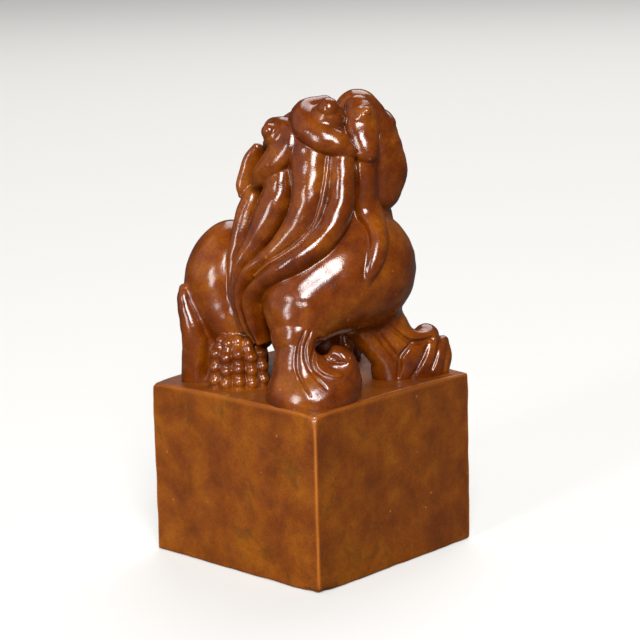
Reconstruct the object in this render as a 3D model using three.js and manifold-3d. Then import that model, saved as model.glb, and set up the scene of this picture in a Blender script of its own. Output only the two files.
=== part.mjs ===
// A hand seal carved from one piece of soapstone: a square block whose knob is a crouching guardian lion.
// The lion's body faces +X and its head is turned over its left shoulder to face +Y.
// The one stone is divided along its carved grooves into named masses, which never move.
// Units are millimetres. The origin is the middle of the seal face, with +Z up.

import * as THREE from "three";
import { mergeVertices } from "three/addons/utils/BufferGeometryUtils.js";
import Module from "manifold-3d";

const wasm = await Module();
wasm.setup();

// The block and its seal face.
const blockSide = 30;
const blockHeight = 23;
const edgeBevel = 0.4;
const borderInset = 1.2;
const borderGroove = 0.9;
const reliefDepth = 0.5;
const fretLine = 0.8;

// The groove left between neighbouring masses.
const seam = 0.3;

// The barrel's middle stands this high above the block's top. The other masses are set from it.
const bodyHeight = 14.6;
const chestRise = 0.8;
const shoulderDrop = 1.1;
const haunchDrop = 2.0;
const headRise = 13.6;

// Radii and widths of the masses.
const chestRadius = 8.2;
const barrelRadius = 6.7;
const shoulderRadius = 5.6;
const haunchWidth = 4.7;
const haunchLength = 5.3;
const neckRadius = barrelRadius + 0.1;
const skullRadius = 7.4;
const footRadius = 5.5;
const waistRadius = 2.9;
const forepawRadius = 4.3;
const forepawHeight = 6.6;
const hindPawRadius = 4.9;
const hindPawHeight = 7.4;
const toeBeads = 4;
const hockHeight = 12.4;
const lockWidth = 2;
const lockThickness = 1.6;
const bandThickness = 1.6;
const browThickness = 1.2;
const eyeRadius = 1.6;
const bossRing = 0.25;

// Where the four feet stand, measured in from the block's sides.
const half = blockSide / 2;
const rightForefoot = [half - 5.9, -(half - 5.9)];
const leftForepaw = [half - 5.3, half - 5.0];
const rightHindPaw = [-half + 9.9, -(half - 6.9)];
const leftHindPaw = [-half + 9.9, half - 6.9];

// Middles of the large masses, as x, y and height above the block's top.
const chest = [6.4, 2.0, bodyHeight + chestRise];
const rump = [-8.2, 0.2, bodyHeight];
const shoulder = [5.2, -4.7, bodyHeight - shoulderDrop];
const headCentre = [2.4, 1.9, bodyHeight + headRise];
const headTurn = THREE.MathUtils.degToRad(100);

// Solids and joins

function solidFrom(positions, triangles) {
  const mesh = new wasm.Mesh({
    numProp: 3,
    vertProperties: new Float32Array(positions),
    triVerts: new Uint32Array(triangles),
  });
  return new wasm.Manifold(mesh);
}

function solidOf(geometry) {
  const bare = geometry.clone();
  bare.deleteAttribute("normal");
  bare.deleteAttribute("uv");
  const merged = mergeVertices(bare, 1e-4);
  return solidFrom(merged.attributes.position.array, merged.index.array);
}

function geometryOf(solid) {
  const mesh = solid.getMesh();
  const geometry = new THREE.BufferGeometry();
  geometry.setAttribute("position", new THREE.BufferAttribute(mesh.vertProperties, 3));
  geometry.setIndex(new THREE.BufferAttribute(mesh.triVerts, 1));
  geometry.computeVertexNormals();
  return geometry;
}

function join(solids) {
  return solids.reduce((all, next) => all.add(next));
}

function largestOf(solid) {
  const bodies = solid.decompose();
  return bodies.reduce((best, body) => (body.volume() > best.volume() ? body : best));
}

// A point given from the block's top.

function above(x, y, height) {
  return [x, y, blockHeight + height];
}

// A point given from the middle of the head, in skull radii: to the lion's right, forward to its nose
// and up.

function onHead(right, forward, up) {
  const c = Math.cos(headTurn);
  const s = Math.sin(headTurn);
  return above(
    headCentre[0] + skullRadius * (forward * c + right * s),
    headCentre[1] + skullRadius * (forward * s - right * c),
    headCentre[2] + skullRadius * up,
  );
}

// Radii given as shares of the skull's.

function headRadii(across, along, up) {
  return [across * skullRadius, along * skullRadius, up * skullRadius];
}

// A point on the mane: a share of the way from the head down to a mass, and a step out from there.

function onMane(share, mass, x, y) {
  const at = headCentre.map((from, axis) => THREE.MathUtils.lerp(from, mass[axis], share));
  return above(at[0] + x, at[1] + y, at[2]);
}

// Basic forms. Each takes grow, by which the form is swelled to cut its neighbours clear.

function ball(middle, radii, grow, sides = 12) {
  const geometry = new THREE.SphereGeometry(1, sides, Math.round(sides * 0.6));
  geometry.rotateX(Math.PI / 2);
  geometry.scale(radii[0] + grow, radii[1] + grow, radii[2] + grow);
  geometry.translate(...middle);
  return solidOf(geometry);
}

// A carved stroke: an oval section that follows a smooth curve through stations, with rounded ends.
// A station is a point, the half width across the face of the stroke and the half thickness. The face
// points one way, or turns from one way at the start to another at the end.

function stroke(stations, facing, grow, sides = 7, perSpan = 1) {
  const path = new THREE.CatmullRomCurve3(
    stations.map((station) => new THREE.Vector3(...station[0])),
    false,
    "centripetal",
  );
  const spans = stations.length - 1;
  const ways = Array.isArray(facing[0]) ? facing : [facing, facing];
  const [first, last] = ways.map((way) => new THREE.Vector3(...way));
  const rings = [];
  const addRing = (t, beyond, shrink) => {
    const at = t * spans;
    const from = Math.min(Math.floor(at), spans - 1);
    const mix = THREE.MathUtils.smoothstep(at - from, 0, 1);
    const width = THREE.MathUtils.lerp(stations[from][1], stations[from + 1][1], mix) + grow;
    const thick = THREE.MathUtils.lerp(stations[from][2], stations[from + 1][2], mix) + grow;
    const along = path.getTangent(t);
    const face = first.clone().lerp(last, t);
    const out = face.clone().addScaledVector(along, -face.dot(along)).normalize();
    const across = new THREE.Vector3().crossVectors(out, along);
    const centre = path.getPoint(t).addScaledVector(along, beyond * Math.min(width, thick));
    rings.push({ centre, across, out, width: width * shrink, thick: thick * shrink });
  };
  const capAngles = [Math.PI / 3];
  capAngles.forEach((angle) => addRing(0, -Math.sin(angle), Math.cos(angle)));
  for (let i = 0; i <= spans * perSpan; i++) addRing(i / (spans * perSpan), 0, 1);
  capAngles.forEach((angle) => addRing(1, Math.sin(angle), Math.cos(angle)));

  const positions = [];
  const triangles = [];
  rings.forEach((ring) => {
    for (let j = 0; j < sides; j++) {
      const angle = (2 * Math.PI * j) / sides;
      const point = ring.centre.clone();
      point.addScaledVector(ring.across, Math.cos(angle) * ring.width);
      point.addScaledVector(ring.out, Math.sin(angle) * ring.thick);
      positions.push(point.x, point.y, point.z);
    }
  });
  for (let i = 0; i + 1 < rings.length; i++) {
    for (let j = 0; j < sides; j++) {
      const a = i * sides + j;
      const b = i * sides + ((j + 1) % sides);
      triangles.push(a, b, b + sides, a, b + sides, a + sides);
    }
  }
  const poles = [0, rings.length - 1].map((i) => {
    const ring = rings[i];
    positions.push(ring.centre.x, ring.centre.y, ring.centre.z);
    return { first: i * sides, index: positions.length / 3 - 1 };
  });
  for (let j = 0; j < sides; j++) {
    const next = (j + 1) % sides;
    triangles.push(poles[0].index, poles[0].first + next, poles[0].first + j);
    triangles.push(poles[1].index, poles[1].first + j, poles[1].first + next);
  }
  return solidFrom(positions, triangles);
}

// The block is bevelled on every edge.

function squareShape(side, corner) {
  const s = side / 2;
  const shape = new THREE.Shape();
  shape.moveTo(-s + corner, -s);
  shape.lineTo(s - corner, -s);
  shape.lineTo(s, -s + corner);
  shape.lineTo(s, s - corner);
  shape.lineTo(s - corner, s);
  shape.lineTo(-s + corner, s);
  shape.lineTo(-s, s - corner);
  shape.lineTo(-s, -s + corner);
  shape.closePath();
  return shape;
}

function blockForm(grow) {
  const outline = squareShape(blockSide + 2 * grow, edgeBevel);
  const geometry = new THREE.ExtrudeGeometry(outline, {
    depth: blockHeight + 2 * grow - 2 * edgeBevel,
    bevelThickness: edgeBevel,
    bevelSize: edgeBevel,
    bevelOffset: -edgeBevel,
    bevelSegments: 1,
  });
  geometry.translate(0, 0, edgeBevel - grow);
  return solidOf(geometry);
}

// The seal face is bare within a border line, with one turn of a key fret in each corner.

function groove(width, length, x, y) {
  const geometry = new THREE.BoxGeometry(width, length, 2 * reliefDepth);
  geometry.translate(x, y, 0);
  return solidOf(geometry);
}

function sealGrooves() {
  const outer = blockSide - 2 * borderInset;
  const middle = outer / 2 - borderGroove / 2;
  const grooves = [];
  [-1, 1].forEach((side) => {
    grooves.push(groove(outer, borderGroove, 0, side * middle));
    grooves.push(groove(borderGroove, outer, side * middle, 0));
  });
  const turn = 5 * fretLine;
  const far = outer / 2 - borderGroove - 1.5 * fretLine;
  const near = far - turn + fretLine;
  const long = (near + far) / 2;
  const short = long - fretLine;
  [-1, 1].forEach((sx) => {
    [-1, 1].forEach((sy) => {
      grooves.push(groove(turn, fretLine, sx * long, sy * near));
      grooves.push(groove(fretLine, turn, sx * near, sy * long));
      grooves.push(groove(turn - 2 * fretLine, fretLine, sx * short, sy * far));
    });
  });
  return join(grooves);
}

// A hind paw is a rounded fist with toes fanned round its front, each a row of beads that runs over the
// knuckle to the ground.

function hindPawForm([x, y], pointing, grow) {
  const radius = hindPawRadius;
  const height = hindPawHeight;
  const solids = [ball(above(x, y, height * 0.48), [radius * 0.8, radius * 0.8, height * 0.5], grow)];
  const toes = 5;
  const fan = 1.9;
  const toeWidth = (radius * fan) / toes / 2;
  for (let i = 0; i < toes; i++) {
    const turn = pointing + (i - (toes - 1) / 2) * (fan / toes);
    const dx = Math.cos(turn);
    const dy = Math.sin(turn);
    const stations = [];
    for (let j = 0; j < 2 * toeBeads; j++) {
      const angle = THREE.MathUtils.degToRad(78 - (74 * j) / (2 * toeBeads - 1));
      const reach = radius * (0.26 + 0.64 * Math.cos(angle));
      const size = toeWidth * (j % 2 ? 0.85 : 1.08);
      stations.push([above(x + dx * reach, y + dy * reach, height * 0.93 * Math.sin(angle)), size, size]);
    }
    solids.push(stroke(stations, [dx, dy, 0.4], grow, 5));
  }
  return join(solids);
}

// The right foreleg is a waisted column on a round foot. The foot's side rolls up and over into a scroll,
// with a tongue that curls up inside it.

function byFoot(x, y, height) {
  return above(rightForefoot[0] + x, rightForefoot[1] + y, height);
}

function rightForefootForm(grow) {
  const wide = footRadius;
  const narrow = footRadius * 0.7;
  return join([
    ball(byFoot(0, 0, 0.7), [wide, wide, 3.6], grow, 16),
    ball(byFoot(1.6, 1.2, 1.6), [narrow, narrow, 3.6], grow),
  ]);
}

function rightForefootScrollForm(grow) {
  const roll = [
    [byFoot(2.6, 2.8, 0.2), 2.0, 1.9],
    [byFoot(3.3, 3.3, 2.0), 1.6, 1.9],
    [byFoot(3.4, 3.2, 4.0), 1.35, 1.9],
    [byFoot(3.0, 2.9, 5.5), 1.15, 1.9],
    [byFoot(2.0, 2.5, 6.15), 0.95, 1.8],
    [byFoot(0.9, 2.0, 5.9), 0.7, 1.5],
  ];
  const tongue = [
    [byFoot(3.6, 3.2, 2.4), 1.3, 1.5],
    [byFoot(3.6, 2.8, 3.7), 1.1, 1.5],
    [byFoot(3.0, 1.8, 4.5), 1.0, 1.4],
    [byFoot(2.0, 1.0, 4.8), 0.85, 1.3],
    [byFoot(0.9, 0.6, 5.5), 0.6, 1.1],
  ];
  return join([
    stroke(roll, [0.7, -0.7, 0.1], grow, 8),
    stroke(tongue, [0.7, -0.7, 0.3], grow),
    ball(byFoot(2.4, 1.9, 3.9), [1.6, 1.6, 1.6], grow, 8),
  ]);
}

function rightForelegForm(grow) {
  const stations = [
    [byFoot(-0.7, -1.4, shoulder[2] * 0.06), waistRadius + 0.8, waistRadius + 0.3],
    [byFoot(-1.1, -1.3, shoulder[2] * 0.3), waistRadius + 0.4, waistRadius + 0.2],
    [byFoot(-1.6, -0.7, shoulder[2] * 0.5), waistRadius + 0.1, waistRadius],
    [byFoot(-2.4, 0.1, shoulder[2] * 0.67), waistRadius + 0.8, waistRadius + 0.7],
    [above(shoulder[0] + 0.9, shoulder[1] - 2.9, shoulder[2] - 1.7), waistRadius + 1.9, waistRadius + 1.6],
  ];
  return stroke(stations, [0.7, -0.7, 0], grow, 12, 2);
}

function rightShoulderForm(grow) {
  const radii = [shoulderRadius, shoulderRadius, shoulderRadius * 1.15];
  const outer = above(shoulder[0] + 3.0, shoulder[1] + 1.5, shoulder[2] + 0.6);
  return join([
    ball(above(...shoulder), radii, grow),
    ball(outer, [shoulderRadius - 1, shoulderRadius - 1, shoulderRadius], grow),
  ]);
}

// The left foreleg splays out to the other front corner. Its heel stands up behind the paw, and a rope of
// muscle runs down along it to the toes.

function byPaw(x, y, height) {
  return above(leftForepaw[0] + x, leftForepaw[1] + y, height);
}

function leftForelegForm(grow) {
  const limb = [
    [byPaw(-3.4, -6.4, bodyHeight * 0.75), 3.5, 3.5],
    [byPaw(-2.2, -4.4, bodyHeight * 0.55), 3.3, 3.3],
    [byPaw(-1.2, -3.4, forepawHeight * 0.79), 3.4, 3.4],
    [byPaw(-0.2, -2.4, forepawHeight * 0.48), 3.3, 3.3],
    [byPaw(0.6, -1.4, forepawHeight * 0.3), 3.1, 3.1],
  ];
  const heel = [
    [byPaw(-3.0, -8.2, bodyHeight * 0.52), 1.6, 1.8],
    [byPaw(-1.8, -6.8, forepawHeight * 0.82), 1.8, 2.0],
    [byPaw(-0.8, -5.2, forepawHeight * 0.48), 2.0, 2.2],
    [byPaw(-0.5, -4.4, forepawHeight * 0.12), 2.4, 2.2],
  ];
  const rope = [
    [byPaw(-0.6, -5.6, bodyHeight * 0.66), 1.0, 1.1],
    [byPaw(0.2, -4.6, bodyHeight * 0.5), 1.0, 1.1],
    [byPaw(1.3, -3.1, forepawHeight * 0.91), 1.0, 1.0],
    [byPaw(2.2, -1.4, forepawHeight * 0.83), 0.95, 0.9],
    [byPaw(2.6, 0.3, forepawHeight * 0.83), 0.8, 0.8],
  ];
  const facing = [0.7, -0.7, 0.3];
  return join([stroke(limb, facing, grow, 12), stroke(heel, facing, grow, 9), stroke(rope, facing, grow)]);
}

// Each toe of the left paw is the way it faces and its stations, as x, y and a share of the paw's height.

const forepawToes = [
  [[0.7, -0.7, 0.3], [[2.2, -0.8, 0.79], [2.0, -2.0, 0.59], [1.5, -3.0, 0.35], [1.0, -3.7, 0.06]]],
  [[0.8, -0.6, 0.3], [[2.8, 0.6, 0.74], [2.7, -0.3, 0.52], [2.3, -1.4, 0.26], [1.8, -2.1, 0.03]]],
  [[0.9, -0.4, 0.3], [[3.0, 2.0, 0.65], [3.0, 1.3, 0.42], [2.7, 0.4, 0.12]]],
  [[0.9, 0.2, 0.3], [[2.2, 3.3, 0.64], [2.7, 3.1, 0.36], [2.7, 2.5, 0.09]]],
  [[0.3, 0.9, 0.3], [[0.6, 3.6, 0.64], [1.1, 3.8, 0.36], [1.2, 3.7, 0.09]]],
];

function leftForepawForm(grow) {
  const pad = [forepawRadius - 0.5, forepawRadius - 0.3, forepawHeight * 0.6];
  const solids = [
    ball(byPaw(0.3, 0.3, forepawHeight * 0.3), pad, grow),
    ball(byPaw(1.5, 0.8, forepawHeight * 0.82), [1.7, 1.8, 1.6], grow, 8),
  ];
  forepawToes.forEach(([facing, places]) => {
    const stations = places.map(([x, y, share], i) => {
      const size = i ? forepawRadius * 0.26 : forepawRadius * 0.21;
      return [byPaw(x, y, forepawHeight * share), size, size];
    });
    solids.push(stroke(stations, facing, grow));
  });
  return join(solids);
}

// Each hind leg has a round haunch, an upright hock behind it and the paw in front.

function haunchForm(side, grow) {
  const height = bodyHeight - haunchDrop;
  const lower = above(rump[0] - 0.5, side * (barrelRadius + 0.8), height);
  const upper = above(rump[0] - 0.5, side * (barrelRadius - 1.3), height + 2.6);
  const knee = above(rump[0] + 1.7, side * (barrelRadius + 0.9), height - 4.2);
  return join([
    ball(lower, [haunchLength - 0.2, haunchWidth, 6.4], grow),
    ball(upper, [haunchLength - 0.4, haunchWidth, 6.1], grow),
    ball(knee, [haunchLength - 1.1, haunchWidth - 1.1, 3.8], grow),
  ]);
}

function hockForm([x, y], side, grow) {
  const stations = [
    [above(x - 6.0, y + side * 3.8, hockHeight + 0.3), 0.75, 0.8],
    [above(x - 5.6, y + side * 4.2, hockHeight - 1.0), 1.0, 1.1],
    [above(x - 4.9, y + side * 4.3, hockHeight * 0.77), 1.3, 1.3],
    [above(x - 4.3, y + side * 4.2, hockHeight * 0.6), 1.6, 1.5],
    [above(x - 4.2, y + side * 3.9, hockHeight * 0.44), 1.8, 1.6],
    [above(x - 4.9, y + side * 3.4, hockHeight * 0.24), 1.8, 1.8],
    [above(x - 5.6, y + side * 2.8, hockHeight * 0.05), 1.9, 1.9],
  ];
  return stroke(stations, [0.3, 0.95 * side, 0], grow);
}

// Body masses

function torsoForm(grow) {
  const barrel = [
    [above(rump[0] - 0.4, rump[1], rump[2]), barrelRadius, barrelRadius],
    [above(-2.6, 0.2, bodyHeight + 0.2), barrelRadius - 0.3, barrelRadius],
    [above(chest[0] - 3.4, chest[1] - 1, chest[2]), barrelRadius - 0.3, barrelRadius],
  ];
  const flank = [
    [above(-3.5, 0.3 - barrelRadius, bodyHeight + 2.0), 2.7, 2.7],
    [above(-3.2, -0.3 - barrelRadius, bodyHeight - 1.9), 3.1, 3.1],
    [above(-2.9, -0.3 - barrelRadius, bodyHeight * 0.63), 2.9, 2.9],
    [above(-2.8, 0.3 - barrelRadius, bodyHeight * 0.45), 1.9, 1.9],
  ];
  return join([stroke(barrel, [0, 0, 1], grow, 12), stroke(flank, [0, -1, 0], grow, 10)]);
}

function chestForm(grow) {
  return ball(above(...chest), [chestRadius, chestRadius, chestRadius], grow, 14);
}

function neckForm(grow) {
  const stations = [
    [above(chest[0] - 2.8, chest[1] - 1.8, chest[2] + 2.5), neckRadius + 0.3, neckRadius],
    [onMane(0.62, chest, -2.3, -1.6), neckRadius, neckRadius],
    [onHead(-0.02, -0.12, -0.27), neckRadius, neckRadius + 0.2],
  ];
  return stroke(stations, [1, 0, 0], grow, 12, 2);
}

function spineForm(grow) {
  const beads = 5;
  const pitch = 2.2;
  const stations = [];
  for (let i = 0; i < 2 * beads - 1; i++) {
    const x = rump[0] - 3.6 + (i * pitch) / 2;
    const height = bodyHeight + barrelRadius - 0.5 - 0.025 * (i - 4.8) ** 2;
    const radius = i % 2 ? 0.8 : 1.2;
    stations.push([above(x, rump[1], height), radius, radius]);
  }
  return stroke(stations, [0, 0, 1], grow);
}

// The tail rises from the rump and parts into three plumes against the left haunch.

function tailForm(grow) {
  const x = rump[0] - 4.0;
  const y = rump[1] + 1.2;
  const plumes = [0, 1, 2].map((i) => [
    [above(x - 0.6, y + 0.5 * i, rump[2] - 7.1), 1.5, 1.5],
    [above(x - 1.2 + 0.2 * i, y + 1.5 * i, rump[2] - 2.6), 1.8, 1.5],
    [above(x + 0.2 + 0.3 * i, y + 0.6 + 1.9 * i, rump[2] + 1.8 - 0.6 * i), 1.6, 1.3],
    [above(x + 2.6 + 0.3 * i, y + 1.0 + 2.2 * i, rump[2] + 4.8 - 1.3 * i), 0.7, 0.7],
  ]);
  return join(plumes.map((stations) => stroke(stations, [-1, 0.3, 0.2], grow)));
}

// Head masses

function skullForm(grow) {
  return join([
    ball(onHead(0, 0, 0), headRadii(1, 1, 1), grow),
    ball(onHead(-0.054, -0.135, 0.378), headRadii(0.95, 0.93, 0.76), grow),
  ]);
}

function muzzleForm(grow) {
  const solids = [
    ball(onHead(0, 0.892, -0.054), headRadii(0.66, 0.59, 0.42), grow),
    ball(onHead(0.27, 1.243, -0.122), headRadii(0.3, 0.27, 0.28), grow, 8),
    ball(onHead(-0.27, 1.243, -0.122), headRadii(0.3, 0.27, 0.28), grow, 8),
  ];
  for (let i = -3; i <= 3; i++) {
    solids.push(ball(onHead(i * 0.13, 1.31 - 0.027 * i * i, -0.44), headRadii(0.055, 0.06, 0.13), grow, 5));
  }
  return join(solids);
}

function noseForm(grow) {
  const bridge = [
    [onHead(0, 1.324, 0.27), 1.3, 0.9],
    [onHead(0, 1.15, 0.42), 1.1, 0.9],
    [onHead(0, 1.0, 0.6), 1.2, 1.0],
  ];
  return join([
    ball(onHead(0, 1.392, 0.216), headRadii(0.2, 0.18, 0.16), grow, 8),
    ball(onHead(0.203, 1.351, 0.162), headRadii(0.15, 0.15, 0.12), grow, 8),
    ball(onHead(-0.203, 1.351, 0.162), headRadii(0.15, 0.15, 0.12), grow, 8),
    stroke(bridge, [0, 0.6, 0.8], grow, 6),
  ]);
}

function jawForm(grow) {
  return join([
    ball(onHead(0, 0.838, -0.676), headRadii(0.57, 0.59, 0.24), grow),
    ball(onHead(0, 1.18, -0.62), headRadii(0.33, 0.22, 0.15), grow, 8),
  ]);
}

function browForm(side, grow) {
  const stations = [
    [onHead(side * 0.135, 1.122, 0.622), browThickness * 0.7, browThickness * 0.75],
    [onHead(side * 0.419, 1.081, 0.811), browThickness, browThickness],
    [onHead(side * 0.703, 0.851, 0.73), browThickness, browThickness],
    [onHead(side * 0.865, 0.622, 0.514), browThickness * 0.6, browThickness * 0.6],
  ];
  return stroke(stations, [0, 1, 0.3], grow, 6);
}

function eyeForm(side, grow) {
  return ball(onHead(side * 0.432, 0.973, 0.459), [eyeRadius, eyeRadius, eyeRadius], grow, 8);
}

function earForm(side, grow) {
  const stations = [
    [onHead(side * 0.72, 0.6, 0.56), 1.2, 0.9],
    [onHead(side * 0.9, 0.6, 0.66), 1.6, 0.9],
    [onHead(side, 0.52, 0.8), 0.6, 0.5],
  ];
  return stroke(stations, [side * 0.4, 0.9, 0], grow, 6);
}

function cheekForm(side, grow) {
  const stations = [
    [onHead(side * 0.7, 0.4, 0.94), 1.7, 1.6],
    [onHead(side * 0.76, 0.38, 0.64), 2.6, 2.4],
    [onHead(side * 0.78, 0.37, 0.3), 3.2, 2.7],
    [onHead(side * 0.8, 0.35, -0.04), 3.4, 2.7],
    [onHead(side * 0.8, 0.3, -0.36), 3.1, 2.5],
    [onHead(side * 0.78, 0.24, -0.64), 1.9, 1.8],
  ];
  return stroke(stations, [side * 0.75, -0.66, 0], grow, 10);
}

function beardForm(grow) {
  const locks = [-1, 0, 1].map((i) => [
    [onHead(i * 0.324, 0.838, -0.838), 1.6, 1.5],
    [onHead(i * 0.297, 0.811, -1.189), 1.5, 1.4],
    [onHead(i * 0.216 + 0.108, 0.622, -1.568), 0.7, 0.7],
  ]);
  return join(locks.map((stations) => stroke(stations, [0, 1, 0], grow, 6)));
}

// The hair is dressed in curls: each has a round boss on a pad, with a ring cut about it, and a thick band
// that sweeps past it to a tip.

function curl(boss, bossRadius, band, facing, grow) {
  const middle = new THREE.Vector3(...boss);
  const outward = middle.clone().sub(new THREE.Vector3(...above(...headCentre))).normalize();
  const padMiddle = middle.clone().addScaledVector(outward, -0.7 * bossRadius);
  const padRadius = 1.4 * bossRadius;
  const pad = ball(padMiddle.toArray(), [padRadius, padRadius, padRadius], grow, 10);
  const button = ball(boss, [bossRadius, bossRadius, bossRadius], grow, 8);
  const body = pad.add(stroke(band, facing, grow, 8));
  if (grow > 0) return body.add(button);
  const ring = new THREE.TorusGeometry(1.04 * bossRadius, bossRing, 4, 10);
  ring.applyQuaternion(new THREE.Quaternion().setFromUnitVectors(new THREE.Vector3(0, 0, 1), outward));
  ring.translate(...middle.addScaledVector(outward, 0.3 * bossRadius).toArray());
  return body.subtract(solidOf(ring)).add(button);
}

function crownKnobForm(grow) {
  return join([
    ball(onHead(0.45, 0.3, 1.0), headRadii(0.4, 0.38, 0.38), grow),
    ball(onHead(0.5, 0.22, 0.84), headRadii(0.42, 0.36, 0.3), grow),
  ]);
}

function napeCurlCentreForm(grow) {
  const band = [
    [onHead(0.12, -0.24, 1.08), 1.5, bandThickness - 0.3],
    [onHead(-0.04, -0.46, 1.04), 1.9, bandThickness],
    [onHead(0.03, -0.7, 0.95), 2.1, bandThickness],
    [onHead(0.24, -0.83, 0.8), 2.2, bandThickness],
    [onHead(0.47, -0.81, 0.68), 2.1, bandThickness],
    [onHead(0.67, -0.7, 0.56), 1.7, bandThickness],
    [onHead(0.8, -0.6, 0.44), 1.1, bandThickness - 0.3],
    [onHead(0.88, -0.52, 0.34), 0.4, 0.8],
  ];
  return curl(onHead(0.37, -0.54, 1.1), 1.6, band, [[0.1, -0.5, 0.85], [0.85, -0.5, 0.2]], grow);
}

function napeCurlRightForm(grow) {
  const band = [
    [onHead(0.55, 0.1, 1.02), 2.0, bandThickness - 0.2],
    [onHead(0.64, 0.02, 0.94), 2.3, bandThickness],
    [onHead(0.8, -0.16, 0.74), 2.4, bandThickness + 0.1],
    [onHead(0.92, -0.25, 0.54), 2.0, bandThickness + 0.1],
    [onHead(0.97, -0.29, 0.44), 1.75, bandThickness + 0.1],
  ];
  return curl(onHead(0.74, 0.26, 0.96), 0.75, band, [[0.6, -0.3, 0.7], [0.95, -0.3, 0.1]], grow);
}

function napeCurlLeftForm(grow) {
  const band = [
    [onHead(-0.54, -0.52, 0.9), 1.6, bandThickness],
    [onHead(-0.34, -0.72, 0.84), 2.0, bandThickness],
    [onHead(-0.24, -0.88, 0.62), 2.3, bandThickness],
    [onHead(-0.38, -0.95, 0.36), 2.3, bandThickness],
    [onHead(-0.62, -0.93, 0.12), 1.9, bandThickness],
    [onHead(-0.84, -0.9, -0.1), 1.1, bandThickness - 0.4],
  ];
  return curl(onHead(-0.62, -0.88, 0.7), 1.15, band, [[-0.1, -0.7, 0.7], [-0.6, -0.8, 0]], grow);
}

function napeCurlRearForm(grow) {
  const band = [
    [onHead(-0.9, -0.62, 0.46), 0.8, bandThickness - 0.4],
    [onHead(-1.02, -0.72, 0.24), 0.95, bandThickness],
    [onHead(-1.1, -0.8, 0.02), 0.95, bandThickness],
    [onHead(-1.15, -0.85, -0.22), 0.85, bandThickness - 0.2],
    [onHead(-1.17, -0.9, -0.46), 0.4, 0.8],
  ];
  return curl(onHead(-0.98, -0.3, 0.42), 1.2, band, [[-0.5, -0.85, 0], [-0.6, -0.8, 0]], grow);
}

// The mane is cut into long locks that start under the curls, lie side by side and taper to a tip. A station
// is a share of the way from the head down to the shoulder or the chest, a step out from there along X and Y,
// and the lock's width and thickness there as shares of the usual ones.

const rightLocks = [
  {
    facing: [[-0.6, -0.8, 0], [-0.3, -0.95, 0]],
    stations: [
      [0.14, -6.4, -5.5, 0.39, 0.75],
      [0.26, -7.3, -5.9, 0.66, 0.87],
      [0.4, -8.1, -5.6, 0.66, 0.94],
      [0.57, -8.4, -5.3, 0.55, 1],
      [0.8, -9, -4.6, 0.5, 1.12],
      [1.05, -9.4, -3.5, 0.44, 1.12],
      [1.3, -9.9, -1.7, 0.28, 0.94],
    ],
  },
  {
    facing: [[-0.1, -1, 0], [-0.4, -0.9, 0]],
    stations: [
      [-0.1, -1.1, -8.1, 0.77, 1],
      [0.15, -2.2, -6.7, 1.1, 1],
      [0.35, -4, -5.6, 1.26, 1.06],
      [0.54, -5.2, -5.1, 1.1, 1.12],
      [0.68, -6.1, -5, 0.83, 1.25],
      [0.83, -7, -5.3, 0.61, 1.31],
      [0.98, -7.6, -4.9, 0.44, 1.31],
      [1.15, -7.8, -3.9, 0.39, 1.25],
      [1.34, -8.1, -2.2, 0.25, 0.94],
    ],
  },
  {
    facing: [[0.45, -0.88, 0], [-0.3, -0.95, 0]],
    stations: [
      [-0.21, 4.1, -8, 1.16, 0.94],
      [-0.04, 3.1, -7.1, 1.32, 1],
      [0.17, 2.4, -5.9, 1.18, 1],
      [0.34, 1.5, -5.2, 1.16, 1],
      [0.55, -0.6, -4.7, 1.1, 1.06],
      [0.72, -3.1, -4.9, 0.88, 1.25],
      [0.85, -5.2, -5.4, 0.61, 1.38],
      [0.98, -6.2, -5.3, 0.5, 1.38],
      [1.1, -6.5, -4.6, 0.44, 1.31],
      [1.27, -6.6, -3.2, 0.39, 1.19],
      [1.44, -6.6, -1.2, 0.22, 0.81],
    ],
  },
  {
    facing: [[0.7, -0.7, 0], [-0.2, -0.95, 0.1]],
    stations: [
      [-0.16, 5.7, -6.1, 0.39, 0.75],
      [0.01, 5.2, -5.2, 0.41, 0.81],
      [0.21, 4.4, -4.1, 0.41, 0.81],
      [0.37, 3.8, -3.5, 0.44, 0.81],
      [0.5, 3.2, -4.1, 0.44, 0.81],
      [0.61, 2.1, -5.4, 0.44, 0.81],
      [0.71, 0.7, -6.5, 0.44, 0.87],
      [0.84, -1.9, -6.4, 0.39, 1],
      [0.98, -4.4, -5.6, 0.28, 1],
    ],
  },
  {
    facing: [[0.85, -0.52, 0], [-0.3, -0.95, 0.2]],
    stations: [
      [-0.15, 6.6, -4.7, 0.77, 1],
      [0.02, 6.3, -3.8, 0.83, 1.06],
      [0.21, 5.6, -2.7, 0.88, 1.06],
      [0.37, 5.2, -2.5, 0.94, 1.12],
      [0.52, 4.8, -3.2, 0.88, 1.19],
      [0.66, 3.7, -4.7, 0.83, 1.25],
      [0.78, 1.9, -6, 0.8, 1.31],
      [0.89, -0.9, -6.4, 0.72, 1.31],
      [1, -3.1, -6.2, 0.55, 1.31],
      [1.11, -4.4, -5.2, 0.44, 1.25],
      [1.25, -4.9, -3.8, 0.33, 1.12],
      [1.44, -5.1, -2, 0.19, 0.81],
    ],
  },
];

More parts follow.
